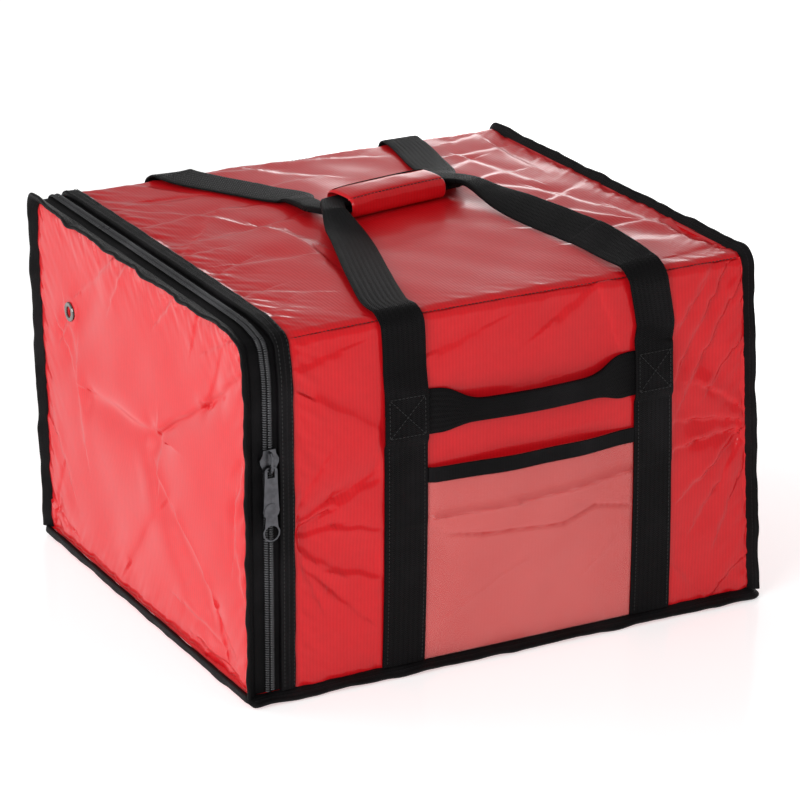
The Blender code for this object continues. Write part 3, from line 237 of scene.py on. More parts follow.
# Waves of the puckers beside a seam: pitch in mm, phase, share
PUCKERS = ((23.0, 0.3, 0.34), (14.3, 1.9, 0.22), (9.1, 4.0, 0.12), (41.0, 2.2, 0.45))

# Waves of a soft surface as a whole: pitches across and up in mm, phase, share
SWELLS = ((170.0, 310.0, 0.4, 0.5), (-230.0, 140.0, 2.1, 0.4), (95.0, -120.0, 3.3, 0.22), (61.0, 83.0, 5.0, 0.12))

# Each strap's free run, as in the solids: across as a share of WIDTH, wrap place, lift, roll, bunch
FRONT_LEFT_ROWS = (
    (-0.2113, 0.85, 0.02, 0.0, 0.0), (-0.2123, 0.93, 0.1, 0.0, 0.0), (-0.2144, 0.975, 0.18, 0.0, 0.0),
    (-0.2164, 1.0, 0.2, 0.0, 0.0), (-0.2174, 1.02, 0.18, 0.0, 0.0), (-0.2164, 1.071, 0.1, -2.0, 0.0),
    (-0.184, 1.204, 0.05, -6.0, 0.0), (-0.1394, 1.366, 0.05, -11.0, 0.0), (-0.1211, 1.448, 0.3, -8.0, 0.25),
    (-0.1068, 1.529, 1.0, 0.0, 1.0),
)
FRONT_RIGHT_ROWS = (
    (0.2887, 0.85, 0.02, 0.0, 0.0), (0.2799, 0.93, 0.12, 0.0, 0.0), (0.2727, 0.975, 0.26, -2.0, 0.0),
    (0.2686, 1.0, 0.32, -4.0, 0.0), (0.2654, 1.02, 0.34, -6.0, 0.0), (0.261, 1.071, 0.26, -12.0, 0.0),
    (0.2555, 1.193, 0.12, -18.0, 0.0), (0.2392, 1.326, 0.1, -18.0, 0.0), (0.2219, 1.458, 0.3, -12.0, 0.15),
    (0.2051, 1.555, 1.0, 0.0, 0.8), (0.19, 1.602, 1.0, 0.0, 1.0),
)
BACK_LEFT_ROWS = (
    (-0.236, 2.15, 0.02, 0.0, 0.0), (-0.2356, 2.07, 0.3, 0.0, 0.0), (-0.2346, 2.025, 0.5, 0.0, 0.0),
    (-0.2336, 2.0, 0.55, 0.0, 0.0), (-0.2306, 1.982, 0.5, 0.0, 0.0), (-0.2083, 1.923, 0.2, 0.0, 0.0),
    (-0.1516, 1.821, 0.05, 0.0, 0.0), (-0.105, 1.728, 0.1, 0.0, 0.2), (-0.108, 1.673, 0.6, 0.0, 0.9),
    (-0.1107, 1.614, 1.0, 0.0, 1.0),
)
BACK_RIGHT_ROWS = (
    (0.2613, 2.15, 0.02, 0.0, 0.0), (0.2622, 2.07, 0.3, 0.0, 0.0), (0.262, 2.025, 0.5, 0.0, 0.0),
    (0.2612, 2.0, 0.55, 0.0, 0.0), (0.2595, 1.982, 0.5, 0.0, 0.0), (0.2508, 1.914, 0.2, 0.0, 0.0),
    (0.2301, 1.821, 0.05, 0.0, 0.0), (0.2158, 1.75, 0.1, 0.0, 0.25), (0.2008, 1.687, 0.6, 0.0, 0.9),
    (0.1914, 1.634, 1.0, 0.0, 1.0),
)

# The side handle: share along it, stand-off, fold
HANDLE_ROWS = (
    (0.0, 0.0, 0.0), (0.09, 0.0, 0.0), (0.15, 0.02, 0.0), (0.2, 0.22, 0.15), (0.26, 0.6, 0.8), (0.32, 0.85, 1.0),
    (0.5, 1.0, 1.0), (0.66, 0.85, 1.0), (0.73, 0.6, 0.8), (0.8, 0.22, 0.1), (0.85, 0.02, 0.0), (0.91, 0.0, 0.0),
    (1.0, 0.0, 0.0),
)


def smooth(share):
    """0 to 1 with level ends: 3 s^2 - 2 s^3."""
    share = np.clip(share, 0.0, 1.0)
    return share * share * (3.0 - 2.0 * share)


def settle(points):
    """The slack shape: faces crown by parabolas in each direction, the sewn end's top leans in and the back's
    top leans out with the square of the distance from the middle, and the front corner by the flap slumps by
    a bell curve of the distance from it."""
    x, y, z = points[..., 0], points[..., 1], points[..., 2]
    across, back, up = x / HALF_WIDTH, y / HALF_DEPTH, z / HEIGHT
    crown_across = np.maximum(0.0, 1.0 - across * across)
    crown_back = np.maximum(0.0, 1.0 - back * back)
    crown_up = np.maximum(0.0, 1.0 - (2.0 * up - 1.0) ** 2)
    lean = END_LEAN * up * np.maximum(0.0, across) ** 2 * (1.0 + END_TWIST * (1.0 + back) / 2)
    corner = ((y + HALF_DEPTH) ** 2 + (HEIGHT - z) ** 2) / CORNER_REACH ** 2
    slump = CORNER_SLUMP * np.exp(-corner - ((x + HALF_WIDTH) / CORNER_RUN) ** 2)
    return np.stack((
        x + END_CROWN * across * crown_back * crown_up - lean,
        y + SIDE_CROWN * back * crown_across * crown_up + BACK_LEAN * up * np.maximum(0.0, back) ** 2 + slump,
        z + TOP_CROWN * up * crown_across * crown_back - slump,
    ), axis=-1)


def wrap(place, lift=0.0):
    """The outline across the bag at place (0 front foot, 1 top front edge, 2 top back edge, 3 back foot), lifted
    off the skin: a three-sided path whose two upper corners are rounded, as y, z and the normal's y and z."""
    y = np.interp(place, (0, 1, 2, 3), (-HALF_DEPTH, -HALF_DEPTH, HALF_DEPTH, HALF_DEPTH))
    z = np.interp(place, (0, 1, 2, 3), (SEAM_RISE, HEIGHT, HEIGHT, SEAM_RISE))
    core_y = np.clip(y, FOLD_RADIUS - HALF_DEPTH, HALF_DEPTH - FOLD_RADIUS)
    core_z = np.minimum(z, HEIGHT - FOLD_RADIUS)
    size = np.hypot(y - core_y, z - core_z)
    normal_y, normal_z = (y - core_y) / size, (z - core_z) / size
    reach = FOLD_RADIUS + lift
    return core_y + normal_y * reach, core_z + normal_z * reach, normal_y, normal_z


def on_wrap(x, place, lift):
    """Points at a lift over the wrap's skin, on the straight-sided bag."""
    y, z, _, _ = wrap(place, lift)
    x, y, z = np.broadcast_arrays(x, y, z)
    return np.stack((x, y, z), axis=-1)


def front_place(z):
    """The wrap place on the front at a height; 3 less it is the place on the back."""
    return (z - SEAM_RISE) / (HEIGHT - SEAM_RISE)


def top_place(y):
    """The wrap place on the top at a distance from the middle of the bag."""
    return 1.0 + (y + HALF_DEPTH) / DEPTH


def wrap_length(place):
    """The distance along the wrap from the front's foot to each place, along its straight sides."""
    side = HEIGHT - SEAM_RISE
    return np.interp(place, (0, 1, 2, 3), (0.0, side, side + DEPTH, 2 * side + DEPTH))


def place_at(length):
    """The wrap place at a distance from the front's foot."""
    side = HEIGHT - SEAM_RISE
    return np.interp(length, (0.0, side, side + DEPTH, 2 * side + DEPTH), (0, 1, 2, 3))


def run_round(foot, count):
    """Even distances along the wrap, from a height at the front's foot to the same height at the back's."""
    return np.linspace(wrap_length(front_place(foot)), wrap_length(3 - front_place(foot)), count)


def swell(across, up, depth):
    """A slow waviness: the sum of a few slanting sines."""
    total = 0.0
    for pitch_across, pitch_up, phase, share in SWELLS:
        total = total + share * np.sin(TURN * (across / pitch_across + up / pitch_up) / MILLI + phase)
    return depth * total


def pucker(along, away, depth, reach, phase=0.0):
    """Puckers beside a seam: a sum of sines along it that dies away exponentially from it."""
    total = 0.0
    for pitch, shift, share in PUCKERS:
        lean = 1.0 + 0.6 * np.sin(shift * 3.0)
        total = total + share * np.sin(TURN * (along + lean * away) / (pitch * MILLI) + shift + phase)
    return depth * total * np.exp(-away / reach)


def segment(across, up, start_across, start_up, end_across, end_up):
    """Distance from a line segment, signed by side, and how far along it the nearest point lies, 0 to 1."""
    run_across, run_up = end_across - start_across, end_up - start_up
    size = math.hypot(run_across, run_up)
    along = ((across - start_across) * run_across + (up - start_up) * run_up) / size ** 2
    nearest = np.clip(along, 0.0, 1.0)
    off_across = across - start_across - nearest * run_across
    off_up = up - start_up - nearest * run_up
    side = np.sign(off_across * run_up - off_up * run_across)
    return np.hypot(off_across, off_up) * side, nearest


def relief(face, across, up, width, height, strength=1.0):
    """A panel's folds and dents at a point: each fold is a sharp valley, exp(-d / w), on a line that bends a little
    between its ends, with a tilt from one side to the other; each dent is a bell curve of the distance from a line."""
    total = swell(across, up, 0.9 * MILLI)
    wider, strength = (TOP_FOLD_SPREAD, TOP_FOLD_SHARE * strength) if face == "top" else (1.0, strength)
    for start_across, start_up, end_across, end_up, half, valley, tilt in FOLDS[face]:
        distance, along = segment(
            across, up, start_across * width, start_up * height, end_across * width, end_up * height)
        distance = distance + 1.0 * MILLI * np.sin(math.pi * along) * np.sin(along * 9.0 + start_across * 20.0)
        half = FOLD_SPREAD * half * wider * MILLI
        fade = 1.0 - FOLD_FADE * smooth(along)
        soft = np.sqrt(distance ** 2 + (0.45 * MILLI) ** 2)
        bend = np.tanh(distance / half) * np.exp(-((distance / (4.5 * half)) ** 2))
        total = total + MILLI * strength * fade * (tilt * bend - valley * np.exp(-soft / half))
    for start_across, start_up, end_across, end_up, half, depth in DENTS[face]:
        distance, _ = segment(
            across, up, start_across * width, start_up * height, end_across * width, end_up * height)
        total = total - depth * MILLI * strength * np.exp(-((distance / (half * MILLI)) ** 2))
    return total


def rolled(away, drop, reach):
    """How far a padded face drops as it rolls down to a seam: a quarter round, drop (1 - sqrt(1 - s^2))."""
    share = np.clip(1.0 - away / reach, 0.0, 1.0)
    return drop * (1.0 - np.sqrt(1.0 - share ** 2))


def dense(low, high, count, edge=0.0):
    """Places from low to high, closer together towards both ends when edge is over 0."""
    share = np.linspace(0.0, 1.0, count)
    eased = (1.0 - np.cos(share * math.pi)) / 2
    return low + (high - low) * ((1.0 - edge) * share + edge * eased)


def mesh_object(name, points, faces, sizes, uv=None, sharp=None):
    """A mesh object from points, the corners of its faces in one row, and each face's number of corners."""
    mesh = bpy.data.meshes.new(name)
    mesh.vertices.add(len(points))
    mesh.vertices.foreach_set("co", np.ascontiguousarray(points, dtype=np.float32).ravel())
    mesh.loops.add(len(faces))
    mesh.loops.foreach_set("vertex_index", np.ascontiguousarray(faces, dtype=np.int32))
    mesh.polygons.add(len(sizes))
    starts = np.concatenate(([0], np.cumsum(sizes)[:-1])).astype(np.int32)
    mesh.polygons.foreach_set("loop_start", starts)
    mesh.update(calc_edges=True)
    if uv is not None:
        layer = mesh.uv_layers.new(name="along_and_across")
        layer.data.foreach_set("uv", np.ascontiguousarray(uv, dtype=np.float32).ravel())
    mesh.validate()
    mesh.shade_smooth()
    if sharp is not None:
        mesh.set_sharp_from_angle(angle=math.radians(sharp))
    made = bpy.data.objects.new(name, mesh)
    bpy.context.scene.collection.objects.link(made)
    return made


def grid_faces(rows, columns, close_rows, close_columns):
    """The corners of a grid's quads, and the row and column of each corner counted on past a closed edge."""
    row = np.arange(rows if close_rows else rows - 1)[:, None]
    column = np.arange(columns if close_columns else columns - 1)[None, :]
    corner_rows = np.stack(np.broadcast_arrays(row, row + 1, row + 1, row), axis=-1)
    corner_rows = np.broadcast_to(corner_rows, (row.size, column.size, 4))
    corner_columns = np.stack(np.broadcast_arrays(column, column, column + 1, column + 1), axis=-1)
    corner_columns = np.broadcast_to(corner_columns, (row.size, column.size, 4))
    index = (corner_rows % rows) * columns + corner_columns % columns
    return index, corner_rows, corner_columns


def grid_object(name, points, uv=None, close_rows=False, close_columns=False, sharp=None):
    """One surface on a grid of points (rows, columns, 3). A closed profile's two end rows get a cap. uv gives
    each row's and each column's own measure, one longer along a closed edge."""
    rows, columns = points.shape[:2]
    index, corner_rows, corner_columns = grid_faces(rows, columns, close_rows, close_columns)
    corners = index.reshape(-1, 4)
    measures = None
    if uv is not None:
        along, across = uv
        measures = np.stack((along[corner_rows], across[corner_columns]), axis=-1).reshape(-1, 4, 2)
    loops = [corners.ravel()]
    sizes = [np.full(len(corners), 4)]
    if close_columns and not close_rows:
        first_cap = np.arange(columns)
        last_cap = (rows - 1) * columns + np.arange(columns)[::-1]
        loops += [first_cap, last_cap]
        sizes.append(np.array([columns, columns]))
    if measures is not None:
        spare = sum(len(loop) for loop in loops[1:])
        measures = np.concatenate((measures.reshape(-1, 2), np.zeros((spare, 2))))
    return mesh_object(
        name, points.reshape(-1, 3), np.concatenate(loops), np.concatenate(sizes), measures, sharp)


def facing_out(made):
    """Turns the faces the right way if the closed mesh holds a negative volume."""
    mesh = made.data
    points = np.empty(len(mesh.vertices) * 3)
    mesh.vertices.foreach_get("co", points)
    points = points.reshape(-1, 3)
    mesh.calc_loop_triangles()
    corners = np.empty(len(mesh.loop_triangles) * 3, dtype=np.int32)
    mesh.loop_triangles.foreach_get("vertices", corners)
    a, b, c = points[corners.reshape(-1, 3)].transpose(1, 0, 2)
    if np.einsum("ij,ij->i", a, np.cross(b, c)).sum() < 0.0:
        mesh.flip_normals()
    return made


def swept(name, points, lengths, around, sharp=60.0):
    """A closed profile at each of a run of lengths, settled and closed at both ends, mapped by length and measure."""
    return facing_out(grid_object(name, settle(points), uv=(lengths, around), close_columns=True, sharp=sharp))


def padded_slab(name, outer, inner):
    """A closed pad: its outer skin (rows, columns) and a plainer inner skin with the same rows, joined into one
    profile that runs out over the one and back over the other, with a cap at each end."""
    loop = np.concatenate((outer, inner[:, ::-1]), axis=1)
    return facing_out(grid_object(name, settle(loop), close_columns=True, sharp=50.0))


def frames_along(path, up):
    """Unit tangent, side and face normal at each point of a path, given a rough up direction at each."""
    tangent = np.gradient(path, axis=0)
    tangent /= np.linalg.norm(tangent, axis=1, keepdims=True)
    side = np.cross(tangent, up)
    side /= np.linalg.norm(side, axis=1, keepdims=True)
    return tangent, side, np.cross(side, tangent)


def carried(path, up, section, widths, heights, rolls=None):
    """A profile carried along a path: section is (around, 2) in shares of the width and height at each point."""
    _, side, face = frames_along(path, up)
    if rolls is not None:
        turn = np.radians(rolls)[:, None]
        side, face = side * np.cos(turn) + face * np.sin(turn), face * np.cos(turn) - side * np.sin(turn)
    across = section[None, :, 0, None] * widths[:, None, None] * side[:, None, :]
    out = section[None, :, 1, None] * heights[:, None, None] * face[:, None, :]
    return path[:, None, :] + across + out


def rounded_section(count, power=5.0):
    """A superellipse from -0.5 to 0.5 each way: (|cos|^(2/n) sign, |sin|^(2/n) sign) / 2."""
    angle = np.arange(count) * TURN / count
    cosine, sine = np.cos(angle), np.sin(angle)
    across = np.sign(cosine) * np.abs(cosine) ** (2.0 / power)
    out = np.sign(sine) * np.abs(sine) ** (2.0 / power)
    return np.stack((across, out), axis=-1) / 2


def path_measure(path):
    """Distance along a path to each of its points."""
    return np.concatenate(([0.0], np.cumsum(np.linalg.norm(np.diff(path, axis=0), axis=1))))


def catmull(rows, count):
    """A smooth run through a table's rows: Catmull-Rom cubics, count steps to a row."""
    table = np.array(rows, dtype=float)
    padded = np.concatenate((table[:1], table, table[-1:]))
    share = (np.arange(count) / count)[None, :, None]
    before, start, end, after = (padded[k:len(table) - 1 + k][:, None, :] for k in range(4))
    slope_start, slope_end = (end - before) / 2, (after - start) / 2
    cubic = (2 * start - 2 * end + slope_start + slope_end) * share ** 3
    square = (3 * end - 3 * start - 2 * slope_start - slope_end) * share ** 2
    made = (cubic + square + slope_start * share + start).reshape(-1, table.shape[1])
    return np.concatenate((made, table[-1:]))


def tiled(base_points, base_faces, places, axes):
    """Copies of one small closed shape: each at a place, turned by its own three axes (copies, 3, 3)."""
    count = len(places)
    points = np.einsum("pk,ckj->cpj", base_points, axes) + places[:, None, :]
    corners = base_faces[None, :, :] + (np.arange(count) * len(base_points))[:, None, None]
    sizes = np.full(count * len(base_faces), base_faces.shape[1])
    return points, corners.reshape(-1), sizes


def copied(name, shape, places, axes):
    """One object of many copies of a small closed shape."""
    points, quads, triangles = shape
    made, corners, sizes = tiled(points, quads, places, axes)
    _, caps, cap_sizes = tiled(points, triangles, places, axes)
    return mesh_object(
        name, made.reshape(-1, 3), np.concatenate((corners, caps)), np.concatenate((sizes, cap_sizes)), sharp=70.0)


def capsule(length, radius, bulge, sides=5, steps=5):
    """A short thread: a tube along the first axis whose radius is a half ellipse, bowed out along the third."""
    along = -np.cos(np.linspace(0.12, math.pi - 0.12, steps)) * 0.5
    size = radius * np.sqrt(np.clip(1.0 - (2.0 * along) ** 2, 0.02, 1.0)) ** 0.6
    angle = np.arange(sides) * TURN / sides
    points = np.stack(np.broadcast_arrays(
        along[:, None] * length,
        size[:, None] * np.cos(angle)[None, :],
        size[:, None] * np.sin(angle)[None, :] + bulge * (1.0 - (2.0 * along[:, None]) ** 2),
    ), axis=-1).reshape(-1, 3)
    faces, _, _ = grid_faces(steps, sides, False, True)
    middle_first, middle_last = len(points), len(points) + 1
    points = np.concatenate((points, [points[:sides].mean(0)], [points[-sides:].mean(0)]))
    quads = faces.reshape(-1, 4)
    ring = np.arange(sides)
    after = (ring + 1) % sides
    last = (steps - 1) * sides
    first_cap = np.stack((ring, after, np.full(sides, middle_first), np.full(sides, middle_first)), axis=-1)
    last_cap = np.stack((last + after, last + ring, np.full(sides, middle_last), np.full(sides, middle_last)), axis=-1)
    return points, quads, np.concatenate((first_cap[:, :3], last_cap[:, :3]))


# Lifts and pieces of the wrap

def strap_mask(x, centres, reach):
    """0 under a strap's sewn stretch and 1 clear of it, with a smooth step beside its edges."""
    clear = 1.0
    for centre in centres:
        clear = clear * smooth((np.abs(x - centre) - STRAP_WIDTH / 2 + 1.5 * MILLI) / reach)
    return clear


def grip_distance(x, y):
    """Distance outside the rectangle that the grip stands on, 0 inside it."""
    turn = math.radians(GRIP_TURN)
    along = (x - GRIP_X) * math.cos(turn) + (y - GRIP_Y) * math.sin(turn)
    across = (y - GRIP_Y) * math.cos(turn) - (x - GRIP_X) * math.sin(turn)
    off_along = np.maximum(0.0, np.abs(along) - GRIP_LENGTH / 2)
    off_across = np.maximum(0.0, np.abs(across) - GRIP_WIDTH / 2)
    return np.hypot(off_along, off_across)


def face_lift(face, x, place, sizes):
    """How far a wrap panel's skin stands off the plain wrap: its folds and dents, puckers that die away from its
    seams, a groove at the folded edges, a quarter-round roll into the sewn ones, and nothing under what lies on it."""
    across = x + HALF_WIDTH
    side = HEIGHT - SEAM_RISE
    up = {"front": place * side, "top": (place - 1.0) * DEPTH, "back": (3.0 - place) * side}[face]
    height = DEPTH if face == "top" else side
    by_zip = np.maximum(0.0, across - ZIP_BINDING_END)
    by_end = np.maximum(0.0, WIDTH - across)
    by_edge = np.abs(wrap_length(place) - wrap_length(np.where(place < 1.5, 1.0, 2.0)))
    total = relief(face, across, up, WIDTH, height, sizes.fold_strength)
    depth = sizes.pucker_depth
    total = total + pucker(up, by_zip, depth * 1.1, 0.016, 0.4) + pucker(up, by_end, depth, 0.015, 2.0)
    total = total + pucker(across, by_edge, depth * 0.6, 0.010, 1.1)
    if face == "top":
        away = grip_distance(x, up - HALF_DEPTH)
        total = total * smooth((away - 0.001) / 0.012) - 0.2 * MILLI * np.exp(-away / 0.01)
    else:
        total = total + pucker(across, up, depth * 0.8, 0.012, 3.0)
        straps = FRONT_STRAPS if face == "front" else BACK_STRAPS
        clear = strap_mask(x, straps, 0.008)
        clear = np.where(up > HANDLE_Z + 0.021, 1.0 - (1.0 - clear) * np.exp(-(up - HANDLE_Z - 0.021) / 0.01), clear)
        total = total * clear - 0.15 * MILLI * (1.0 - clear)
        if face == "front":
            behind = smooth((POCKET_TOP + 0.006 - up) / 0.008) * smooth((0.108 - np.abs(x - POCKET_MIDDLE)) / 0.004)
            total = total * (1.0 - 0.8 * behind) - 0.3 * MILLI * behind
        total = total - rolled(up, SEAM_CHAMFER, 0.008)
    total = total - 1.2 * MILLI * np.exp(-(by_edge / 0.0016) ** 2)
    total = total * smooth(by_zip / 0.007) - 0.25 * MILLI * (1.0 - smooth(by_zip / 0.003))
    total = total + 1.1 * MILLI * smooth(by_zip / 0.006) * np.exp(-by_zip / 0.02) * (face != "top")
    return total - rolled(by_end, SEAM_CHAMFER, 0.008)


def wrap_lift(x, place, sizes):
    """The lift of whichever wrap panel lies at each place."""
    x, place = np.broadcast_arrays(np.asarray(x, dtype=float), np.asarray(place, dtype=float))
    front = face_lift("front", x, np.clip(place, 0.0, 1.0), sizes)
    top = face_lift("top", x, np.clip(place, 1.0, 2.0), sizes)
    back = face_lift("back", x, np.clip(place, 2.0, 3.0), sizes)
    return np.where(place <= 1.0, front, np.where(place <= 2.0, top, back))


def wrap_panel(face, sizes, columns, rows):
    """The front, top or back panel: a padded sheet from the zip band to the sewn end."""
    low, high = {"front": (0.0, 1.0), "top": (1.0, 2.0), "back": (2.0, 3.0)}[face]
    edge = 0.0002
    lengths = dense(wrap_length(low) + edge, wrap_length(high) - edge, rows, 0.35)
    place = place_at(lengths)[:, None]
    x = dense(PANEL_START - HALF_WIDTH, HALF_WIDTH - 0.0003, columns, 0.3)[None, :]
    outer = on_wrap(x, place, face_lift(face, x, place, sizes))
    inner_x = np.linspace(PANEL_START - HALF_WIDTH, HALF_WIDTH - WALL, 24)[None, :]
    inner_place = low + (place - low) * 0.995
    return padded_slab(face + "_shell", outer, on_wrap(inner_x, inner_place, -WALL + 0.0005))


def end_outline(y, z, inset):
    """Draws a flat end's square upper corners in to round ones: past the core of a corner, a point goes from the
    square to the circle of the same reach. Also gives each point's distance inside the outline."""
    core_y, core_z = HALF_DEPTH - FOLD_RADIUS, HEIGHT - FOLD_RADIUS
    off_y, off_z = np.abs(y) - core_y, z - core_z
    cornered = (off_y > 0.0) & (off_z > 0.0)
    size = np.hypot(off_y, off_z)
    reach = np.maximum(off_y, off_z)
    share = np.where(cornered, reach / np.where(size > 0.0, size, 1.0), 1.0)
    drawn_y = np.where(cornered, np.sign(y) * (core_y + off_y * share), y)
    drawn_z = np.where(cornered, core_z + off_z * share, z)
    away = np.where(cornered, FOLD_RADIUS - reach, np.minimum(
        np.minimum(HALF_DEPTH - np.abs(y), HEIGHT - z), z - SEAM_RISE))
    shrink_y = 1.0 - inset / HALF_DEPTH
    middle = (SEAM_RISE + HEIGHT) / 2
    shrink_z = 1.0 - inset / (HEIGHT - middle)
    return drawn_y * shrink_y, middle + (drawn_z - middle) * shrink_z, np.maximum(0.0, away)


def end_lift(face, y, z, away, sizes):
    """How far an end panel's face stands off flat: folds, dents and seam puckers, rolled down at its edge."""
    total = relief(face, y + HALF_DEPTH, z, DEPTH, HEIGHT, sizes.fold_strength)
    depth = sizes.pucker_depth
    by_front, by_back = y + HALF_DEPTH, HALF_DEPTH - y
    total = total + pucker(z, by_front, depth, 0.013, 0.2) + pucker(z, by_back, depth, 0.015, 1.4)
    total = total + pucker(y, np.maximum(0.0, HEIGHT - z), depth * 1.1, 0.015, 2.5)
    total = total + pucker(y, np.maximum(0.0, z - SEAM_RISE), depth, 0.015, 3.9)
    if face == "flap":
        away_vent = np.hypot(y - EYELET_PLACE[0], z - EYELET_PLACE[1])
        total = total * smooth((away_vent - 0.0088) / 0.008) - 0.15 * MILLI * (away_vent < 0.012)
    return total - rolled(away, 0.0026, 0.010)


def end_panel(face, side, sizes, columns, rows, rim):
    """The flap or the sewn end: a padded sheet with rounded upper corners."""
    y = dense(-HALF_DEPTH, HALF_DEPTH, columns, 0.45)[None, :]
    z = dense(SEAM_RISE, HEIGHT, rows, 0.45)[:, None]
    y, z = np.broadcast_arrays(y, z)
    placed_y, placed_z, away = end_outline(y, z, rim)
    lift = end_lift(face, placed_y, placed_z, away, sizes)
    outer = np.stack((side * (HALF_WIDTH + lift), placed_y, placed_z), axis=-1)
    inner_y = np.linspace(-HALF_DEPTH + WALL * 0.2, HALF_DEPTH - WALL * 0.2, 20)[None, :]
    inner_y, inner_z = np.broadcast_arrays(inner_y, dense(SEAM_RISE, HEIGHT, rows, 0.45)[:, None])
    placed_y, placed_z, _ = end_outline(inner_y, inner_z, rim + 0.0008)
    inner = np.stack((np.full_like(placed_y, side * (HALF_WIDTH - WALL)), placed_y, placed_z), axis=-1)
    return padded_slab(face + "_shell", outer, inner)


def bottom_shell(sizes):
    """The bottom panel: a belly that falls smoothly from the sewn edges to a flat resting face."""
    x = dense(-HALF_WIDTH + 0.0004, HALF_WIDTH - 0.0004, 120, 0.4)[None, :]
    y = dense(-HALF_DEPTH + 0.0004, HALF_DEPTH - 0.0004, 110, 0.4)[:, None]
    edge = np.minimum(HALF_WIDTH - np.abs(x), HALF_DEPTH - np.abs(y))
    belly = SEAM_RISE * (1.0 - smooth((edge - SEAM_CHAMFER) / BELLY_RUN)) + rolled(edge, SEAM_CHAMFER, 0.007)
    wave = np.maximum(0.0, pucker(x + y, edge, sizes.pucker_depth, 0.015, 0.7))
    z = belly + wave * smooth(edge / 0.004)
    x, y, z = np.broadcast_arrays(x, y, z)
    outer = np.stack((x, y, z), axis=-1)
    inner_x = np.linspace(-HALF_WIDTH + WALL, HALF_WIDTH - WALL, 24)[None, :]
    inner_x, inner_y = np.broadcast_arrays(inner_x, y[:, :1] * (1.0 - WALL / HALF_DEPTH))
    inner_edge = np.minimum(HALF_WIDTH - np.abs(inner_x), HALF_DEPTH - np.abs(inner_y))
    inner_z = SEAM_RISE * (1.0 - smooth((inner_edge - SEAM_CHAMFER) / BELLY_RUN)) + WALL
    return padded_slab("bottom_shell", outer, np.stack((inner_x, inner_y, inner_z), axis=-1))


def vent_hole(panel, place):
    """Cuts the vent's round hole through the flap."""
    bpy.ops.mesh.primitive_cylinder_add(vertices=40, radius=VENT_RADIUS, depth=0.05, location=place)
    cutter = bpy.context.object
    cutter.rotation_euler = (0.0, math.radians(90.0), 0.0)
    hole = panel.modifiers.new("vent_hole", "BOOLEAN")
    hole.operation = "DIFFERENCE"
    hole.solver = "EXACT"
    hole.object = cutter
    applied(panel)
    bpy.data.objects.remove(cutter, do_unlink=True)


def applied(made):
    """Turns a piece's modifiers into its mesh."""
    graph = bpy.context.evaluated_depsgraph_get()
    graph.update()
    mesh = bpy.data.meshes.new_from_object(made.evaluated_get(graph), depsgraph=graph)
    made.modifiers.clear()
    made.data = mesh
    return made


# Binding tape and zip band

def wobble(length, pitch, seed):
    """An uneven wave along an edge: three sines whose pitches don't share a step."""
    return (
        0.55 * np.sin(TURN * length / (pitch * 1.6) + seed)
        + 0.33 * np.sin(TURN * length / (pitch * 0.77) + seed * 2.3)
        + 0.12 * np.sin(TURN * length / (pitch * 0.41) + seed * 4.1))


def tape_profile():
    """A folded tape's section: share out along it, from inside its root to 1, distance across its thickness, thinned
    towards its edge and nipped in at its stitches, and the measure round it."""
    section = rounded_section(18, 4.0)
    out, thick = section[:, 0] * 1.34 + 0.33, section[:, 1]
    around = path_measure(np.stack((out * BINDING_LENGTH, thick * BINDING_THICKNESS), axis=-1))
    plump = 1.0 - 0.22 * np.maximum(0.0, out) - 0.25 * np.exp(-((out - 0.42) / 0.10) ** 2)
    half = thick * BINDING_THICKNESS * plump
    return out[None, :], half[None, :], np.append(around, around[-1] + BINDING_THICKNESS * 0.3)


def edge_tape(name, edge, side, base, sizes, seed, droop=0.0):
    """Folded tape over an end's turned-out seam: a section that stands out cornerwise from the wrap's edge, whose
    width and lean vary along it as an uneven wave; its top run is turned down by droop degrees and a little wider."""
    lengths = run_round(TAPE_FOOT, 640)
    place = place_at(lengths)[:, None]
    out, half, around = tape_profile()
    wave = wobble(lengths, 0.047, seed)[:, None]
    lean = wobble(lengths, 0.031, seed + 2.0)[:, None]
    over_top = smooth((place - 1.03) / 0.12) * smooth((1.97 - place) / 0.12)
    turn = np.radians(45.0 - droop * over_top * (1.0 + 0.4 * wave))
    reach = BINDING_LENGTH * (1.0 + sizes.tape_wave * 0.10 * wave + 0.008 * droop * over_top)
    across = half + sizes.tape_wave * 0.0011 * lean * out ** 2
    away = out * reach * np.cos(turn) - base / 2 - across * np.sin(turn)
    lift = out * reach * np.sin(turn) - base / 2 + across * np.cos(turn)
    return swept(name, on_wrap(edge + side * away, place, lift), lengths, around)


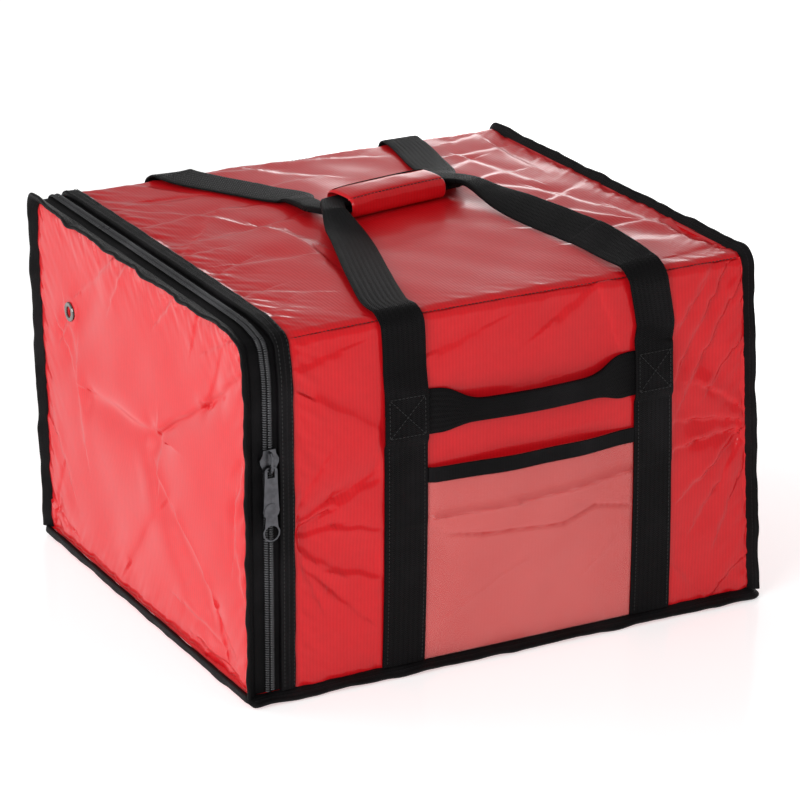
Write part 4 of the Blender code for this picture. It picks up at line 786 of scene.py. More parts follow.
def foot_tape(name, sizes):
    """Folded tape round the bottom seam: a section carried round a rectangle with small round corners, standing out
    a little below level and turned down beside the flap, its ends meeting at the middle of the back."""
    radius = 0.003
    corners = ((1, 1, 90.0), (1, -1, 0.0), (-1, -1, -90.0), (-1, 1, -180.0))
    route = [(GAP / 2, HALF_DEPTH, 90.0)]
    for way_x, way_y, start in corners:
        for step in range(7):
            angle = math.radians(start - 15.0 * step)
            core_x, core_y = way_x * (HALF_WIDTH - radius), way_y * (HALF_DEPTH - radius)
            route.append((core_x + radius * math.cos(angle), core_y + radius * math.sin(angle), start - 15.0 * step))
    route.append((-GAP / 2, HALF_DEPTH, -270.0))
    route = np.array(route)
    spans = path_measure(route[:, :2])
    lengths = np.unique(np.concatenate((spans, np.linspace(0.0, spans[-1], 760))))
    x, y, angle = (np.interp(lengths, spans, route[:, k])[:, None] for k in range(3))
    turn = np.radians(angle)
    by_flap = smooth(np.maximum(0.0, -np.cos(turn)))
    droop = np.radians(25.0 + 53.0 * by_flap + sizes.tape_wave * 9.0 * wobble(lengths, 0.043, 0.6)[:, None])
    reach = BINDING_LENGTH + (0.0048 - BINDING_LENGTH) * by_flap
    reach = reach * (1.0 + sizes.tape_wave * 0.10 * wobble(lengths, 0.061, 2.6)[:, None])
    out, half, around = tape_profile()
    root_out = GAP - np.sin(droop) * BINDING_THICKNESS / 2
    root_out = np.maximum(root_out, GAP + BINDING_THICKNESS / 2 * np.sin(droop) * by_flap)
    root_up = SEAM_CHAMFER - GAP - np.cos(droop) * BINDING_THICKNESS / 2
    step_out = root_out + np.cos(droop) * out * reach + np.sin(droop) * half
    step_up = root_up - np.sin(droop) * out * reach + np.cos(droop) * half
    z = np.maximum(SEAM_RISE + step_up, 0.0002)
    points = np.stack(np.broadcast_arrays(x + step_out * np.cos(turn), y + step_out * np.sin(turn), z), axis=-1)
    return swept(name, points, lengths, around)


def flat_band(name, start, end, low, high, seed, wave, crown=0.0, power=6.0, count=22, ridge=0.0):
    """A band round the wrap between two distances from the flap's face and two lifts: a superellipse section with a
    crown, whose edges and lift wander along it, with a ridge beside its first edge, which is drawn down under."""
    lengths = run_round(ZIP_FOOT, 620)
    place = place_at(lengths)[:, None]
    section = rounded_section(count, power)
    across, up = section[:, 0][None, :], section[:, 1][None, :]
    wander = wave * wobble(lengths, 0.053, seed)[:, None]
    narrow = wave * wobble(lengths, 0.037, seed + 1.7)[:, None]
    middle, width = (start + end) / 2, end - start
    x = -HALF_WIDTH + middle + across * width + wander * 0.4 * (across + 0.5) + narrow * 0.5 * across
    rise = crown * (1.0 - (2 * across) ** 2) + ridge * np.exp(-((across + 0.40) / 0.07) ** 2)
    rise = rise + wave * 0.5 * wobble(lengths, 0.029, seed + 3.1)[:, None] * (across + 0.5)
    sunk = ridge * 2.6 * np.exp(-((across + 0.5) / 0.09) ** 2) * (up < 0.0)
    lift = (low + high) / 2 + up * (high - low) + rise * (up > 0.0) - sunk
    around = np.append(path_measure(np.stack((across[0] * width, up[0] * (high - low)), axis=-1)), width * 2)
    return swept(name, on_wrap(x, place, lift), lengths, around)


def turned_axes(along, out):
    """Three unit axes at each place: along, across and outward."""
    along = along / np.linalg.norm(along, axis=-1, keepdims=True)
    across = np.cross(out, along)
    across /= np.linalg.norm(across, axis=-1, keepdims=True)
    return np.stack((along, across, np.cross(along, across)), axis=1)


def wrap_frame(x, place, lift, step=0.0004):
    """Settled points over the wrap, with the directions across the bag, along the wrap and outward there."""
    here = settle(on_wrap(x, place, lift))
    right = settle(on_wrap(x + step, place, lift)) - here
    up = settle(on_wrap(x, place_at(wrap_length(place) + step), lift)) - here
    out = settle(on_wrap(x, place, lift + step)) - here
    return here, right, up, out


def coil_row(name, side, pitch):
    """One row of a coil chain: short fat loops across the chain, each a capsule bowed outward and slanted."""
    start, end = run_round(COIL_FOOT, 2)
    count = int((end - start) / pitch)
    place = place_at(start + (np.arange(count) + 0.25 * side) * pitch)
    x = np.full(count, -HALF_WIDTH + CHAIN_CENTRE + side * COIL_OFFSET)
    here, right, up, out = wrap_frame(x, place, 0.00030)
    slant = right * side + 0.16 * up
    return copied(name, capsule(0.0040, 0.00078, 0.0009), here, turned_axes(slant, out))


# Webbing

def along_path(table, spacing):
    """A table of rows (x, wrap place, ...) taken again at even steps along the wrap."""
    table = np.array(table, dtype=float)
    y, z, _, _ = wrap(table[:, 1])
    spans = path_measure(np.stack((table[:, 0], y, z), axis=-1)) + np.arange(len(table)) * 1e-7
    lengths = np.linspace(0.0, spans[-1], max(8, int(spans[-1] / spacing)))
    return lengths, np.stack([np.interp(lengths, spans, table[:, k]) for k in range(table.shape[1])], axis=-1)


def webbing(name, table, sizes, spacing=0.0022, count=26, seed=0.0, on_skin=True):
    """Webbing carried along stations of x, wrap place, underside lift, roll, width and thickness. Its section is a
    superellipse that turns into two soft layers where the webbing is bunched, and it lies on the vinyl."""
    lengths, rows = along_path(table, spacing)
    x, place, lift, roll, width, thick = rows.T
    if on_skin:
        reach = width * 0.42
        under = np.maximum.reduce([wrap_lift(x + step * reach, place, sizes) for step in (-1.0, -0.5, 0.0, 0.5, 1.0)])
        lift = lift + np.maximum(0.0, under)
    tilt = np.abs(np.sin(np.radians(roll))) * width / 2
    centre = on_wrap(x, place, lift + tilt + thick / 2)
    _, _, normal_y, normal_z = wrap(place)
    normal = np.stack((np.zeros_like(normal_y), normal_y, normal_z), axis=-1)
    section = rounded_section(count, 5.0)
    points = carried(centre, normal, section, width, thick, roll)
    bunch = smooth((thick - 0.0030) / 0.002)[:, None]
    face = frames_along(centre, normal)[2]
    groove = -0.0011 * bunch * np.exp(-((section[None, :, 0] - 0.08) / 0.07) ** 2) * np.sign(section[None, :, 1])
    wave = 0.00025 * wobble(lengths, 0.061, seed)[:, None] * section[None, :, 0] * 2 * (1.0 - bunch)
    points = points + face[:, None, :] * (groove + wave)[..., None]
    around = path_measure(section * (STRAP_WIDTH, STRAP_THICKNESS))
    around = np.append(around, around[-1] + 0.001)
    return swept(name, points, lengths, around, 70.0)


def sewn_stations(x, back, over_handle):
    """A strap's sewn stretch from its foot to the top of its stitching, stepping over the handle's end. Its end is
    lapped over it from a third of the way up, which makes it thicker there."""
    step = HANDLE_STEP if over_handle else 0.0
    low, high = HANDLE_Z - STRAP_WIDTH / 2, HANDLE_Z + STRAP_WIDTH / 2
    ramp = STRAP_THICKNESS * 3
    marks = np.array((
        (STRAP_FOOT, 0.0), (0.08, 0.0), (low - ramp, 0.0), (low - ramp / 4, step),
        (HANDLE_Z, step), (high + ramp / 4, step), (high + ramp, step * 0.6)))
    heights = np.linspace(STRAP_FOOT, marks[-1, 0], 180)
    lifts = GAP + np.interp(heights, marks[:, 0], marks[:, 1])
    places = front_place(heights)
    places = 3.0 - places if back else places
    lap = 0.128 if x < 0.0 else 0.140
    thick = STRAP_THICKNESS + LAP_THICKNESS * (heights > lap)
    return [(x, place, lift, 0.0, STRAP_WIDTH, t) for place, lift, t in zip(places, lifts, thick)]


def free_stations(rows, berth):
    """A strap's free stretch, smoothed between its table's rows."""
    made = []
    for across, place, lift, roll, bunch in catmull(rows, 8):
        bunch = min(max(bunch, 0.0), 1.0)
        width = STRAP_WIDTH + (BUNCH_WIDTH - STRAP_WIDTH) * bunch
        thick = STRAP_THICKNESS + (BUNCH_THICKNESS - STRAP_THICKNESS) * bunch
        made.append((across * WIDTH, place, GAP + max(lift, 0.0) * (berth - GAP), roll, width, thick))
    return made


def grip_stations(berth):
    """A strap's stretch through the grip."""
    turn = math.radians(GRIP_TURN)
    along = np.linspace(-GRIP_LENGTH / 2 - 0.008, GRIP_LENGTH / 2 + 0.008, 24)
    x = GRIP_X + along * math.cos(turn)
    place = top_place(GRIP_Y + along * math.sin(turn))
    return [(a, p, berth, 0.0, BUNCH_WIDTH, BUNCH_THICKNESS) for a, p in zip(x, place)]


def strap_stations(centres, left, right, berth, back):
    """One strap's whole run: up one side, through the grip and down the other side."""
    return (
        sewn_stations(centres[0], back, not back) + free_stations(left, berth) + grip_stations(berth)
        + free_stations(right, berth)[::-1] + sewn_stations(centres[1], back, not back)[::-1])


def handle_stations():
    """The side handle: flat at its ends, folded in half and standing off between them."""
    start = FRONT_STRAPS[0] + STRAP_WIDTH / 2 - HANDLE_TAIL
    end = FRONT_STRAPS[1] - STRAP_WIDTH / 2 + HANDLE_TAIL
    made = []
    for along, stand, fold in catmull(HANDLE_ROWS, 8):
        stand, fold = max(stand, 0.0), min(max(fold, 0.0), 1.0)
        width = STRAP_WIDTH - 2 * GAP + (FOLDED_WIDTH - STRAP_WIDTH + 2 * GAP) * fold
        thick = STRAP_THICKNESS + (FOLDED_THICKNESS - STRAP_THICKNESS) * fold
        place = front_place(HANDLE_Z - 0.0035 * stand)
        made.append((start + (end - start) * along, place, GAP + HANDLE_STAND * stand, 0.0, width, thick))
    return made


def on_grip(along, across, up):
    """Points round the grip on the straight-sided bag: along it, across it and over its middle height."""
    turn = math.radians(GRIP_TURN)
    x = GRIP_X + along * math.cos(turn) - across * math.sin(turn)
    y = GRIP_Y + along * math.sin(turn) + across * math.cos(turn)
    return on_wrap(x, top_place(y), GAP + GRIP_HEIGHT / 2 + up)


def grip_corner(degrees, proud=0.0):
    """How far across and up the sleeve's rounded rectangle lies at an angle, with its size made larger by proud."""
    turn = math.radians(degrees)
    power = 2.0 / SECTION_POWER
    return (math.cos(turn) ** power * (GRIP_WIDTH / 2 + proud), math.sin(turn) ** power * (GRIP_HEIGHT / 2 + proud))


def grip_sleeve(name):
    """The padded sleeve: a rounded rectangle carried along the straps, pinched towards its ends with wrinkles beside
    its seam, run back through its bore so that the surface closes on itself."""
    angle = np.arange(112) * TURN / 112
    side, rise = (rounded_section(112, SECTION_POWER) * 2).T
    shares = np.concatenate((np.linspace(-0.5, 0.5, 96), np.linspace(0.5, -0.5, 14)[1:-1]))[:, None]
    inner = np.concatenate((np.zeros(96), np.ones(12)))[:, None]
    ends = np.concatenate(((0.0018, 0.0006), np.zeros(92), (0.0006, 0.0018), np.zeros(12)))[:, None]
    along = shares * GRIP_LENGTH
    wrinkle = 0.0003 * wobble(along, 0.019, 0.5) * np.exp(-((angle - 2.6) / 0.5) ** 2)
    wrinkle = wrinkle + 0.0005 * wobble(along + 0.01 * np.cos(angle), 0.067, 2.5) * np.maximum(0.0, np.sin(angle))
    seam = -0.0009 * np.exp(-((angle - 2.25) / 0.05) ** 2) - 0.0005 * np.exp(-((angle - 4.0) / 0.05) ** 2)
    out = (wrinkle + seam - ends) * (1 - inner)
    half_width, half_height = (
        (size / 2 + out) * (1 - inner) + (size / 2 - GRIP_WALL) * inner for size in (GRIP_WIDTH, GRIP_HEIGHT))
    pinch = 1.0 - GRIP_PINCH * (2 * shares) ** 4
    up = np.maximum(rise * half_height * np.where(rise > 0, pinch, 1.0), -GRIP_HEIGHT / 2)
    around = np.append(angle, TURN) / TURN * 0.1
    lengths = np.append(along[:, 0], -GRIP_LENGTH / 2)
    return facing_out(grid_object(
        name, settle(on_grip(along, side * half_width, up)), uv=(lengths, around), close_rows=True,
        close_columns=True, sharp=60.0))


def grip_piping(name):
    """The thin bound edge along the sleeve's back: a small round tube carried along the line where its side turns
    over to its top, its ends closed."""
    share = np.linspace(-0.485, 0.485, 60)
    across, up = grip_corner(62.0)
    path = on_grip(share * GRIP_LENGTH, across, up * (1.0 - GRIP_PINCH * (2 * share) ** 4))
    size = 0.0016 * np.sqrt(np.clip(1.0 - (share / 0.487) ** 16, 0.02, 1.0))
    points = carried(path, np.array((0.0, 0.0, 1.0)), rounded_section(10, 2.0), size, size)
    return swept(name, points, share * GRIP_LENGTH, np.linspace(0.0, 0.005, 11))


def pocket_stand(across, up):
    """How far the pocket's sheet stands off the panel: nothing at its sewn edges, most at its mouth."""
    return GAP + 0.007 * (1.0 - (2.0 * across - 1.0) ** 2) * smooth(up)


def pocket_wave(across, up):
    """Creases of the clear sheet: two bent ridges and soft waves that die away at its edges."""
    edge = smooth(np.minimum(across, 1.0 - across) / 0.03) * smooth(up / 0.08)
    total = 0.0010 * np.sin(9.0 * up + 3.0 * across) + 0.0007 * np.sin(17.0 * across - 6.0 * up + 1.0)
    for start_a, start_u, end_a, end_u, half, height in (
            (-0.018, 0.746, 0.400, 0.758, 0.012, 0.0046),
            (0.400, 0.758, 0.995, 0.793, 0.012, 0.0046),
            (-0.008, 0.662, 0.258, 0.613, 0.007, -0.0028),
            (0.258, 0.613, 0.645, 0.586, 0.007, -0.0028),
            (0.645, 0.586, 0.801, 0.641, 0.007, -0.0034),
            (0.801, 0.641, 0.999, 0.598, 0.007, -0.0028),
            (0.642, 0.758, 0.995, 0.782, 0.01, 0.0012),
            (0.069, 0.193, 0.452, 0.419, 0.02, 0.0012),
            (0.651, 0.162, 0.893, 0.425, 0.02, 0.001)):
        distance, _ = segment(across, up, start_a, start_u, end_a, end_u)
        total = total + height * np.exp(-np.abs(distance) / half)
    return total * edge


def pocket_strip(name, low, high, under, thickness, columns, rows):
    """A strip of the pocket between two heights, as a closed thin sheet."""
    left = FRONT_STRAPS[0] + STRAP_WIDTH / 2 + GAP
    right = FRONT_STRAPS[1] - STRAP_WIDTH / 2 - GAP
    across = np.linspace(0.0, 1.0, columns)[None, :]
    z = np.linspace(low, high, rows)[:, None]
    up = (z - STRAP_FOOT) / (POCKET_TOP - STRAP_FOOT)
    stand = np.maximum(GAP, pocket_stand(across, up) + pocket_wave(across, up))
    x = left + (right - left) * across
    outer = on_wrap(x, front_place(z), stand + under + thickness)
    inner = on_wrap(x, front_place(z), stand + under)
    loop = np.concatenate((outer, inner[:, ::-1]), axis=1)
    across_measure = np.concatenate((across[0], across[0][::-1], [0.0])) * (right - left)
    return swept(name, loop, z[:, 0], across_measure)


# Stitches

def stitch_run(points, outward, spacing):
    """Places and axes of stitches at even steps along a line on a surface, given outward directions along it."""
    spans = path_measure(points) + np.arange(len(points)) * 1e-8
    steps = np.arange(spacing / 2, spans[-1], spacing)
    place = np.stack([np.interp(steps, spans, points[:, k]) for k in range(3)], axis=-1)
    tangent = np.gradient(points, axis=0) / np.gradient(spans)[:, None]
    along = np.stack([np.interp(steps, spans, tangent[:, k]) for k in range(3)], axis=-1)
    out = np.stack([np.interp(steps, spans, outward[:, k]) for k in range(3)], axis=-1)
    return place, turned_axes(along, out)


def stitches(name, runs, length, radius):
    """One object of many short threads, each a capsule along its run, bowed outward at its middle."""
    places = np.concatenate([run[0] for run in runs])
    axes = np.concatenate([run[1] for run in runs])
    return copied(name, capsule(length, radius, radius * 0.6, steps=4), places, axes)


def line_on_wrap(x, place, lift, spacing):
    """Stitches along a line over the wrap."""
    here, _, _, out = wrap_frame(np.asarray(x, dtype=float), np.asarray(place, dtype=float), lift)
    return stitch_run(here, out, spacing)


def strap_threads(sizes):
    """The stitching that holds the straps: two lines up each sewn stretch and a crossed box at its top."""
    runs = []
    low, high = HANDLE_Z - STRAP_WIDTH / 2 + 0.003, HANDLE_Z + STRAP_WIDTH / 2 - 0.003
    for centres, back in ((FRONT_STRAPS, False), (BACK_STRAPS, True)):
        for centre in centres:
            step = 0.0 if back else HANDLE_STEP
            top = GAP + STRAP_THICKNESS + LAP_THICKNESS + 0.0001
            reach = STRAP_WIDTH / 2 - 0.0035
            heights = np.linspace(STRAP_FOOT + 0.003, low - 0.006, 60)
            upper = np.linspace(low, high, 30)
            to_place = (lambda z: 3.0 - front_place(z)) if back else front_place
            for way in (-1.0, 1.0):
                x = centre + way * reach
                runs.append(line_on_wrap(np.full(60, x), to_place(heights), top, sizes.stitch_spacing))
                runs.append(line_on_wrap(np.full(30, x), to_place(upper), top + step, sizes.stitch_spacing))
            for z in (low, high):
                x = np.linspace(centre - reach, centre + reach, 24)
                runs.append(line_on_wrap(x, np.full(24, to_place(z)), top + step, sizes.stitch_spacing))
            for way in (-1.0, 1.0):
                x = centre + way * np.linspace(-reach, reach, 30)
                runs.append(line_on_wrap(x, to_place(upper), top + step + 0.0002, sizes.stitch_spacing))
    return stitches("strap_threads", runs, sizes.stitch_spacing * 0.74, THREAD_RADIUS)


def seam_threads(sizes):
    """The stitching of the tapes: along both edges of the folded tape by the zip, and along the two folded edges."""
    place = place_at(run_round(THREAD_FOOT, 700))
    runs = [line_on_wrap(np.full(700, -HALF_WIDTH + offset), place, 0.00275, sizes.stitch_spacing)
            for offset in (0.0279, 0.0362)]
    x = np.linspace(ZIP_BINDING_END - HALF_WIDTH + 0.002, HALF_WIDTH - 0.008, 300)
    for at in (1.0, 2.0):
        runs.append(line_on_wrap(x, np.full(300, at), -0.0004, sizes.stitch_spacing))
    return stitches("seam_threads", runs, sizes.stitch_spacing * 0.74, THREAD_RADIUS)


def grip_threads(sizes):
    """The line of stitches along the sleeve's front upper side."""
    turn = math.radians(GRIP_TURN)
    share = np.linspace(-0.48, 0.48, 80)
    across, up = grip_corner(46.0, GAP)
    line = settle(on_grip(share * GRIP_LENGTH, -across, up * (1.0 - GRIP_PINCH * (2 * share) ** 4)))
    outward = np.tile((math.sin(turn), -math.cos(turn), 1.0), (80, 1))
    run = stitch_run(line, outward, sizes.stitch_spacing * 1.1)
    return stitches("grip_threads", [run], sizes.stitch_spacing * 0.8, GRIP_THREAD_RADIUS)


# Materials

def new_node(tree, kind, inputs=None, **settings):
    """A node with its settings, whose inputs are values or other nodes' outputs."""
    made = tree.nodes.new(kind)
    for key, value in settings.items():
        setattr(made, key, value)
    for key, value in (inputs or {}).items():
        if isinstance(value, bpy.types.NodeSocket):
            tree.links.new(value, made.inputs[key])
        else:
            made.inputs[key].default_value = value
    return made


def maths(tree, operation, first, second=0.0, third=0.0):
    """One Math node's output."""
    return new_node(tree, "ShaderNodeMath", {0: first, 1: second, 2: third}, operation=operation).outputs[0]


def blended(tree, factor, first, second):
    """A colour mix of two colours."""
    return new_node(tree, "ShaderNodeMix", {0: factor, 6: first, 7: second}, data_type="RGBA").outputs[2]


def object_place(tree):
    """The Object coordinates."""
    return tree.nodes.new("ShaderNodeTexCoord").outputs["Object"]


def dimmed(colour, share):
    """A colour darkened evenly."""
    return tuple(channel * share for channel in colour[:3]) + (1.0,)


def noise(tree, vector, scale, detail=3.0, roughness=0.55):
    """One Noise Texture's value."""
    inputs = {"Vector": vector, "Scale": scale, "Detail": detail, "Roughness": roughness}
    return new_node(tree, "ShaderNodeTexNoise", inputs).outputs[0]


def spread_value(tree, value, low, high, new_low=0.0, new_high=1.0):
    """A value taken from one range to another, clamped."""
    inputs = {0: value, 1: low, 2: high, 3: new_low, 4: new_high}
    return new_node(tree, "ShaderNodeMapRange", inputs, interpolation_type="SMOOTHSTEP").outputs[0]


def group(name, inputs, outputs):
    """A shader node group with named sockets, and its input node's and output node's sockets."""
    tree = bpy.data.node_groups.get(name)
    if tree:
        return tree, None, None
    tree = bpy.data.node_groups.new(name, "ShaderNodeTree")
    for label, kind, value in inputs:
        socket = tree.interface.new_socket(label, in_out="INPUT", socket_type=kind)
        if value is not None:
            socket.default_value = value
    for label, kind in outputs:
        tree.interface.new_socket(label, in_out="OUTPUT", socket_type=kind)
    return tree, tree.nodes.new("NodeGroupInput").outputs, tree.nodes.new("NodeGroupOutput").inputs


def ribbed_cloth():
    """Coated cloth: fine even ribs at a pitch, a short cross grain between them, and the pores of the coating, with a
    painted-shade value that is low where the ribs and the soft bump are low.
    """
    tree, given, wanted = group(
        "ribbed_cloth",
        (("Coordinate", "NodeSocketVector", None), ("Across", "NodeSocketFloat", 0.0),
         ("Pitch", "NodeSocketFloat", 0.003)),
        (("Height", "NodeSocketFloat"), ("Hollow shade", "NodeSocketFloat")))
    if given is None:
        return tree
    bend = maths(tree, "MULTIPLY", noise(tree, given["Coordinate"], 30.0, 2.0), 1.6)
    turns = maths(tree, "MULTIPLY_ADD", maths(tree, "DIVIDE", given["Across"], given["Pitch"]), TURN, bend)
    rib = maths(tree, "MULTIPLY_ADD", maths(tree, "SINE", turns), 0.5, 0.5)
    grain = noise(tree, given["Coordinate"], 900.0, 3.0)
    soft = noise(tree, given["Coordinate"], 130.0, 3.0)
    height = maths(tree, "MULTIPLY_ADD", grain, 0.30, maths(tree, "MULTIPLY", rib, 0.55))
    tree.links.new(maths(tree, "MULTIPLY_ADD", soft, 0.9, height), wanted["Height"])
    # Painted shade in the hollows: this value is low where the ribs and the soft bump are low.
    tree.links.new(maths(tree, "MULTIPLY_ADD", rib, 0.35, maths(tree, "MULTIPLY", soft, 0.65)), wanted["Hollow shade"])
    return tree


def woven_band():
    """Woven tape: weft ribs across it, two-up-two-down warp columns that shift them, and a worn nap, with a
    painted-shade value that is low where the ribs and the nap are low.
    """
    tree, given, wanted = group(
        "woven_band",
        (("Along", "NodeSocketFloat", 0.0), ("Across", "NodeSocketFloat", 0.0),
         ("Pitch", "NodeSocketFloat", 0.0016), ("Column", "NodeSocketFloat", 0.0024)),
        (("Height", "NodeSocketFloat"), ("Hollow shade", "NodeSocketFloat")))
    if given is None:
        return tree
    column = maths(tree, "PINGPONG", maths(tree, "DIVIDE", given["Across"], given["Column"]), 1.0)
    along = maths(tree, "ADD", maths(tree, "DIVIDE", given["Along"], given["Pitch"]), column)
    rib = maths(tree, "ABSOLUTE", maths(tree, "SINE", maths(tree, "MULTIPLY", along, math.pi)))
    dip = maths(tree, "ABSOLUTE", maths(tree, "SUBTRACT", column, 0.5))
    cell = new_node(tree, "ShaderNodeCombineXYZ", {"X": given["Along"], "Y": given["Across"]}).outputs[0]
    nap = noise(tree, cell, 700.0, 3.0)
    height = maths(tree, "MULTIPLY_ADD", dip, 0.25, rib)
    tree.links.new(maths(tree, "MULTIPLY_ADD", nap, 0.6, height), wanted["Height"])
    # Painted shade in the hollows: this value is low where the ribs and the nap are low.
    tree.links.new(maths(tree, "MULTIPLY_ADD", nap, 0.4, maths(tree, "MULTIPLY", rib, 0.6)), wanted["Hollow shade"])
    return tree


def rubbed():
    """Handling marks: cloudy patches of dust and rubbing at two sizes; on the nylon the same patches carry a painted
    sheen.
    """
    tree, given, wanted = group(
        "rubbed", (("Coordinate", "NodeSocketVector", None), ("Amount", "NodeSocketFloat", 0.5)),
        (("Mask", "NodeSocketFloat"), ("Cloud", "NodeSocketFloat")))
    if given is None:
        return tree
    cloud = noise(tree, given["Coordinate"], 14.0, 4.0, 0.6)
    fleck = spread_value(tree, noise(tree, given["Coordinate"], 240.0, 4.0, 0.7), 0.58, 0.72)
    patch = spread_value(tree, cloud, 0.42, 0.70)
    mask = maths(tree, "MULTIPLY", maths(tree, "MULTIPLY_ADD", fleck, 0.5, patch), given["Amount"])
    tree.links.new(mask, wanted["Mask"])
    tree.links.new(cloud, wanted["Cloud"])
    return tree


def brushed():
    """Cast and polished metal: long fine scratches, and darker hollows in patches."""
    tree, given, wanted = group(
        "brushed", (("Coordinate", "NodeSocketVector", None),),
        (("Height", "NodeSocketFloat"), ("Mask", "NodeSocketFloat")))
    if given is None:
        return tree
    inputs = {0: given["Coordinate"], 1: (3000.0, 900.0, 300.0)}
    scaled = new_node(tree, "ShaderNodeVectorMath", inputs, operation="MULTIPLY").outputs[0]
    tree.links.new(noise(tree, scaled, 1.0, 2.0), wanted["Height"])
    tree.links.new(noise(tree, given["Coordinate"], 180.0, 3.0), wanted["Mask"])
    return tree


def placed(tree, made_group, inputs):
    """A group's node in a material, with its own values."""
    return new_node(tree, "ShaderNodeGroup", inputs, node_tree=made_group).outputs


def new_material(name, constants):
    """A material with a Principled shader, and constants set on that shader's own sockets."""
    made = bpy.data.materials.new(name)
    made.use_nodes = True
    shader = made.node_tree.nodes["Principled BSDF"]
    for key, value in constants.items():
        shader.inputs[key].default_value = value
    return made, made.node_tree, shader


def raised(tree, shader, height, distance):
    """A Bump node from a height, into the shader's normal."""
    bump = new_node(tree, "ShaderNodeBump", {"Height": height, "Distance": distance, "Strength": 1.0})
    tree.links.new(bump.outputs[0], shader.inputs["Normal"])


def vinyl(name, colour, across_axis, pitch, rib_height):
    """Coated cloth in one colour: ribs across one axis of the object with painted shade in their hollows, a soft uneven
    coat and rubbed patches.
    """
    made, tree, shader = new_material(name, {"Specular IOR Level": 0.12, "Coat Roughness": 0.13})
    coordinate = object_place(tree)
    axes = new_node(tree, "ShaderNodeSeparateXYZ", {0: coordinate}).outputs
    cloth = placed(tree, ribbed_cloth(), {"Coordinate": coordinate, "Across": axes[across_axis], "Pitch": pitch})
    marks = placed(tree, rubbed(), {"Coordinate": coordinate, "Amount": 0.5})
    # Painted shade: the colour is dimmed to 80% in the hollows of the ribs and the soft bump.
    shaded = blended(tree, cloth["Hollow shade"], dimmed(colour, 0.80), tuple(colour))
    dusty = blended(tree, maths(tree, "MULTIPLY", marks["Mask"], 0.02), shaded, (0.75, 0.50, 0.48, 1.0))
    tree.links.new(dusty, shader.inputs["Base Color"])
    rough = maths(tree, "MULTIPLY_ADD", marks["Mask"], 0.12, 0.30)
    tree.links.new(maths(tree, "MULTIPLY_ADD", cloth["Hollow shade"], 0.06, rough), shader.inputs["Roughness"])
    tree.links.new(maths(tree, "MULTIPLY_ADD", marks["Cloud"], -0.25, 0.48), shader.inputs["Coat Weight"])
    raised(tree, shader, cloth["Height"], rib_height)
    return made


def woven(name, colour, worn, pitch, column, rough, height, line=None):
    """Woven tape in one colour from its piece's own map, with painted shade in the weave's hollows, lighter where the
    nap is worn, with a line of stitches.
    """
    made, tree, shader = new_material(name, {"Specular IOR Level": 0.11})
    measure = new_node(tree, "ShaderNodeUVMap", uv_map="along_and_across").outputs[0]
    axes = new_node(tree, "ShaderNodeSeparateXYZ", {0: measure}).outputs
    band = placed(tree, woven_band(), {"Along": axes[0], "Across": axes[1], "Pitch": pitch, "Column": column})
    marks = placed(tree, rubbed(), {"Coordinate": object_place(tree), "Amount": 0.8})
    # Painted shade: the colour is dimmed to 45% in the hollows of the weave and the nap.
    shade = blended(tree, band["Hollow shade"], dimmed(colour, 0.45), tuple(colour))
    lit = blended(tree, maths(tree, "MULTIPLY", marks["Mask"], 0.5), shade, tuple(worn))
    relief_height = band["Height"]
    if line is not None:
        near = maths(tree, "ABSOLUTE", maths(tree, "SUBTRACT", axes[1], line))
        beside = spread_value(tree, near, 0.0003, 0.0006, 1.0, 0.0)
        dash = maths(tree, "PINGPONG", axes[0], 0.0017)
        dashed = maths(tree, "MULTIPLY", beside, spread_value(tree, dash, 0.0003, 0.0005))
        lit = blended(tree, maths(tree, "MULTIPLY", dashed, 0.7), lit, tuple(worn))
        relief_height = maths(tree, "MULTIPLY_ADD", dashed, 2.2, relief_height)
    tree.links.new(lit, shader.inputs["Base Color"])
    tree.links.new(maths(tree, "MULTIPLY_ADD", band["Hollow shade"], -0.12, rough), shader.inputs["Roughness"])
    raised(tree, shader, relief_height, height)
    return made


def plastic(name, colour, rough):
    """Smooth nylon: a slightly uneven sheen over one colour, painted as lighter patches in the colour."""
    made, tree, shader = new_material(name, {"Specular IOR Level": 0.5})
    marks = placed(tree, rubbed(), {"Coordinate": object_place(tree), "Amount": 0.6})
    # Painted sheen: the colour is made over twice as light in the patches of the mask.
    light = tuple(min(1.0, channel * 2.2 + 0.01) for channel in colour[:3]) + (1.0,)
    tree.links.new(blended(tree, marks["Mask"], tuple(colour), light), shader.inputs["Base Color"])
    tree.links.new(maths(tree, "MULTIPLY_ADD", marks["Cloud"], 0.2, rough - 0.1), shader.inputs["Roughness"])
    raised(tree, shader, marks["Cloud"], 0.0001)
    return made


def metal(name, colour, rough):
    """Plated die-cast metal with fine scratches and duller hollows."""
    made, tree, shader = new_material(name, {"Metallic": 1.0})
    marks = placed(tree, brushed(), {"Coordinate": object_place(tree)})
    hollow = spread_value(tree, marks["Mask"], 0.35, 0.65)
    tree.links.new(blended(tree, hollow, dimmed(colour, 0.7), tuple(colour)), shader.inputs["Base Color"])
    tree.links.new(maths(tree, "MULTIPLY_ADD", marks["Mask"], 0.25, rough - 0.1), shader.inputs["Roughness"])
    raised(tree, shader, marks["Height"], 0.00001)
    return made


def film(name, colour, alpha):
    """Clear soft sheet: nearly see-through, milky in cloudy patches, with a wavy gloss."""
    made, tree, shader = new_material(name, {"Specular IOR Level": 0.5, "IOR": 1.45})
    coordinate = object_place(tree)
    marks = placed(tree, rubbed(), {"Coordinate": coordinate, "Amount": 1.0})
    tree.links.new(blended(tree, marks["Cloud"], dimmed(colour, 0.86), tuple(colour)), shader.inputs["Base Color"])
    tree.links.new(maths(tree, "MULTIPLY_ADD", marks["Cloud"], 0.12, 0.10), shader.inputs["Roughness"])
    tree.links.new(maths(tree, "MULTIPLY_ADD", marks["Cloud"], 0.16, alpha - 0.08), shader.inputs["Alpha"])
    raised(tree, shader, noise(tree, coordinate, 22.0, 2.0), 0.0012)
    return made


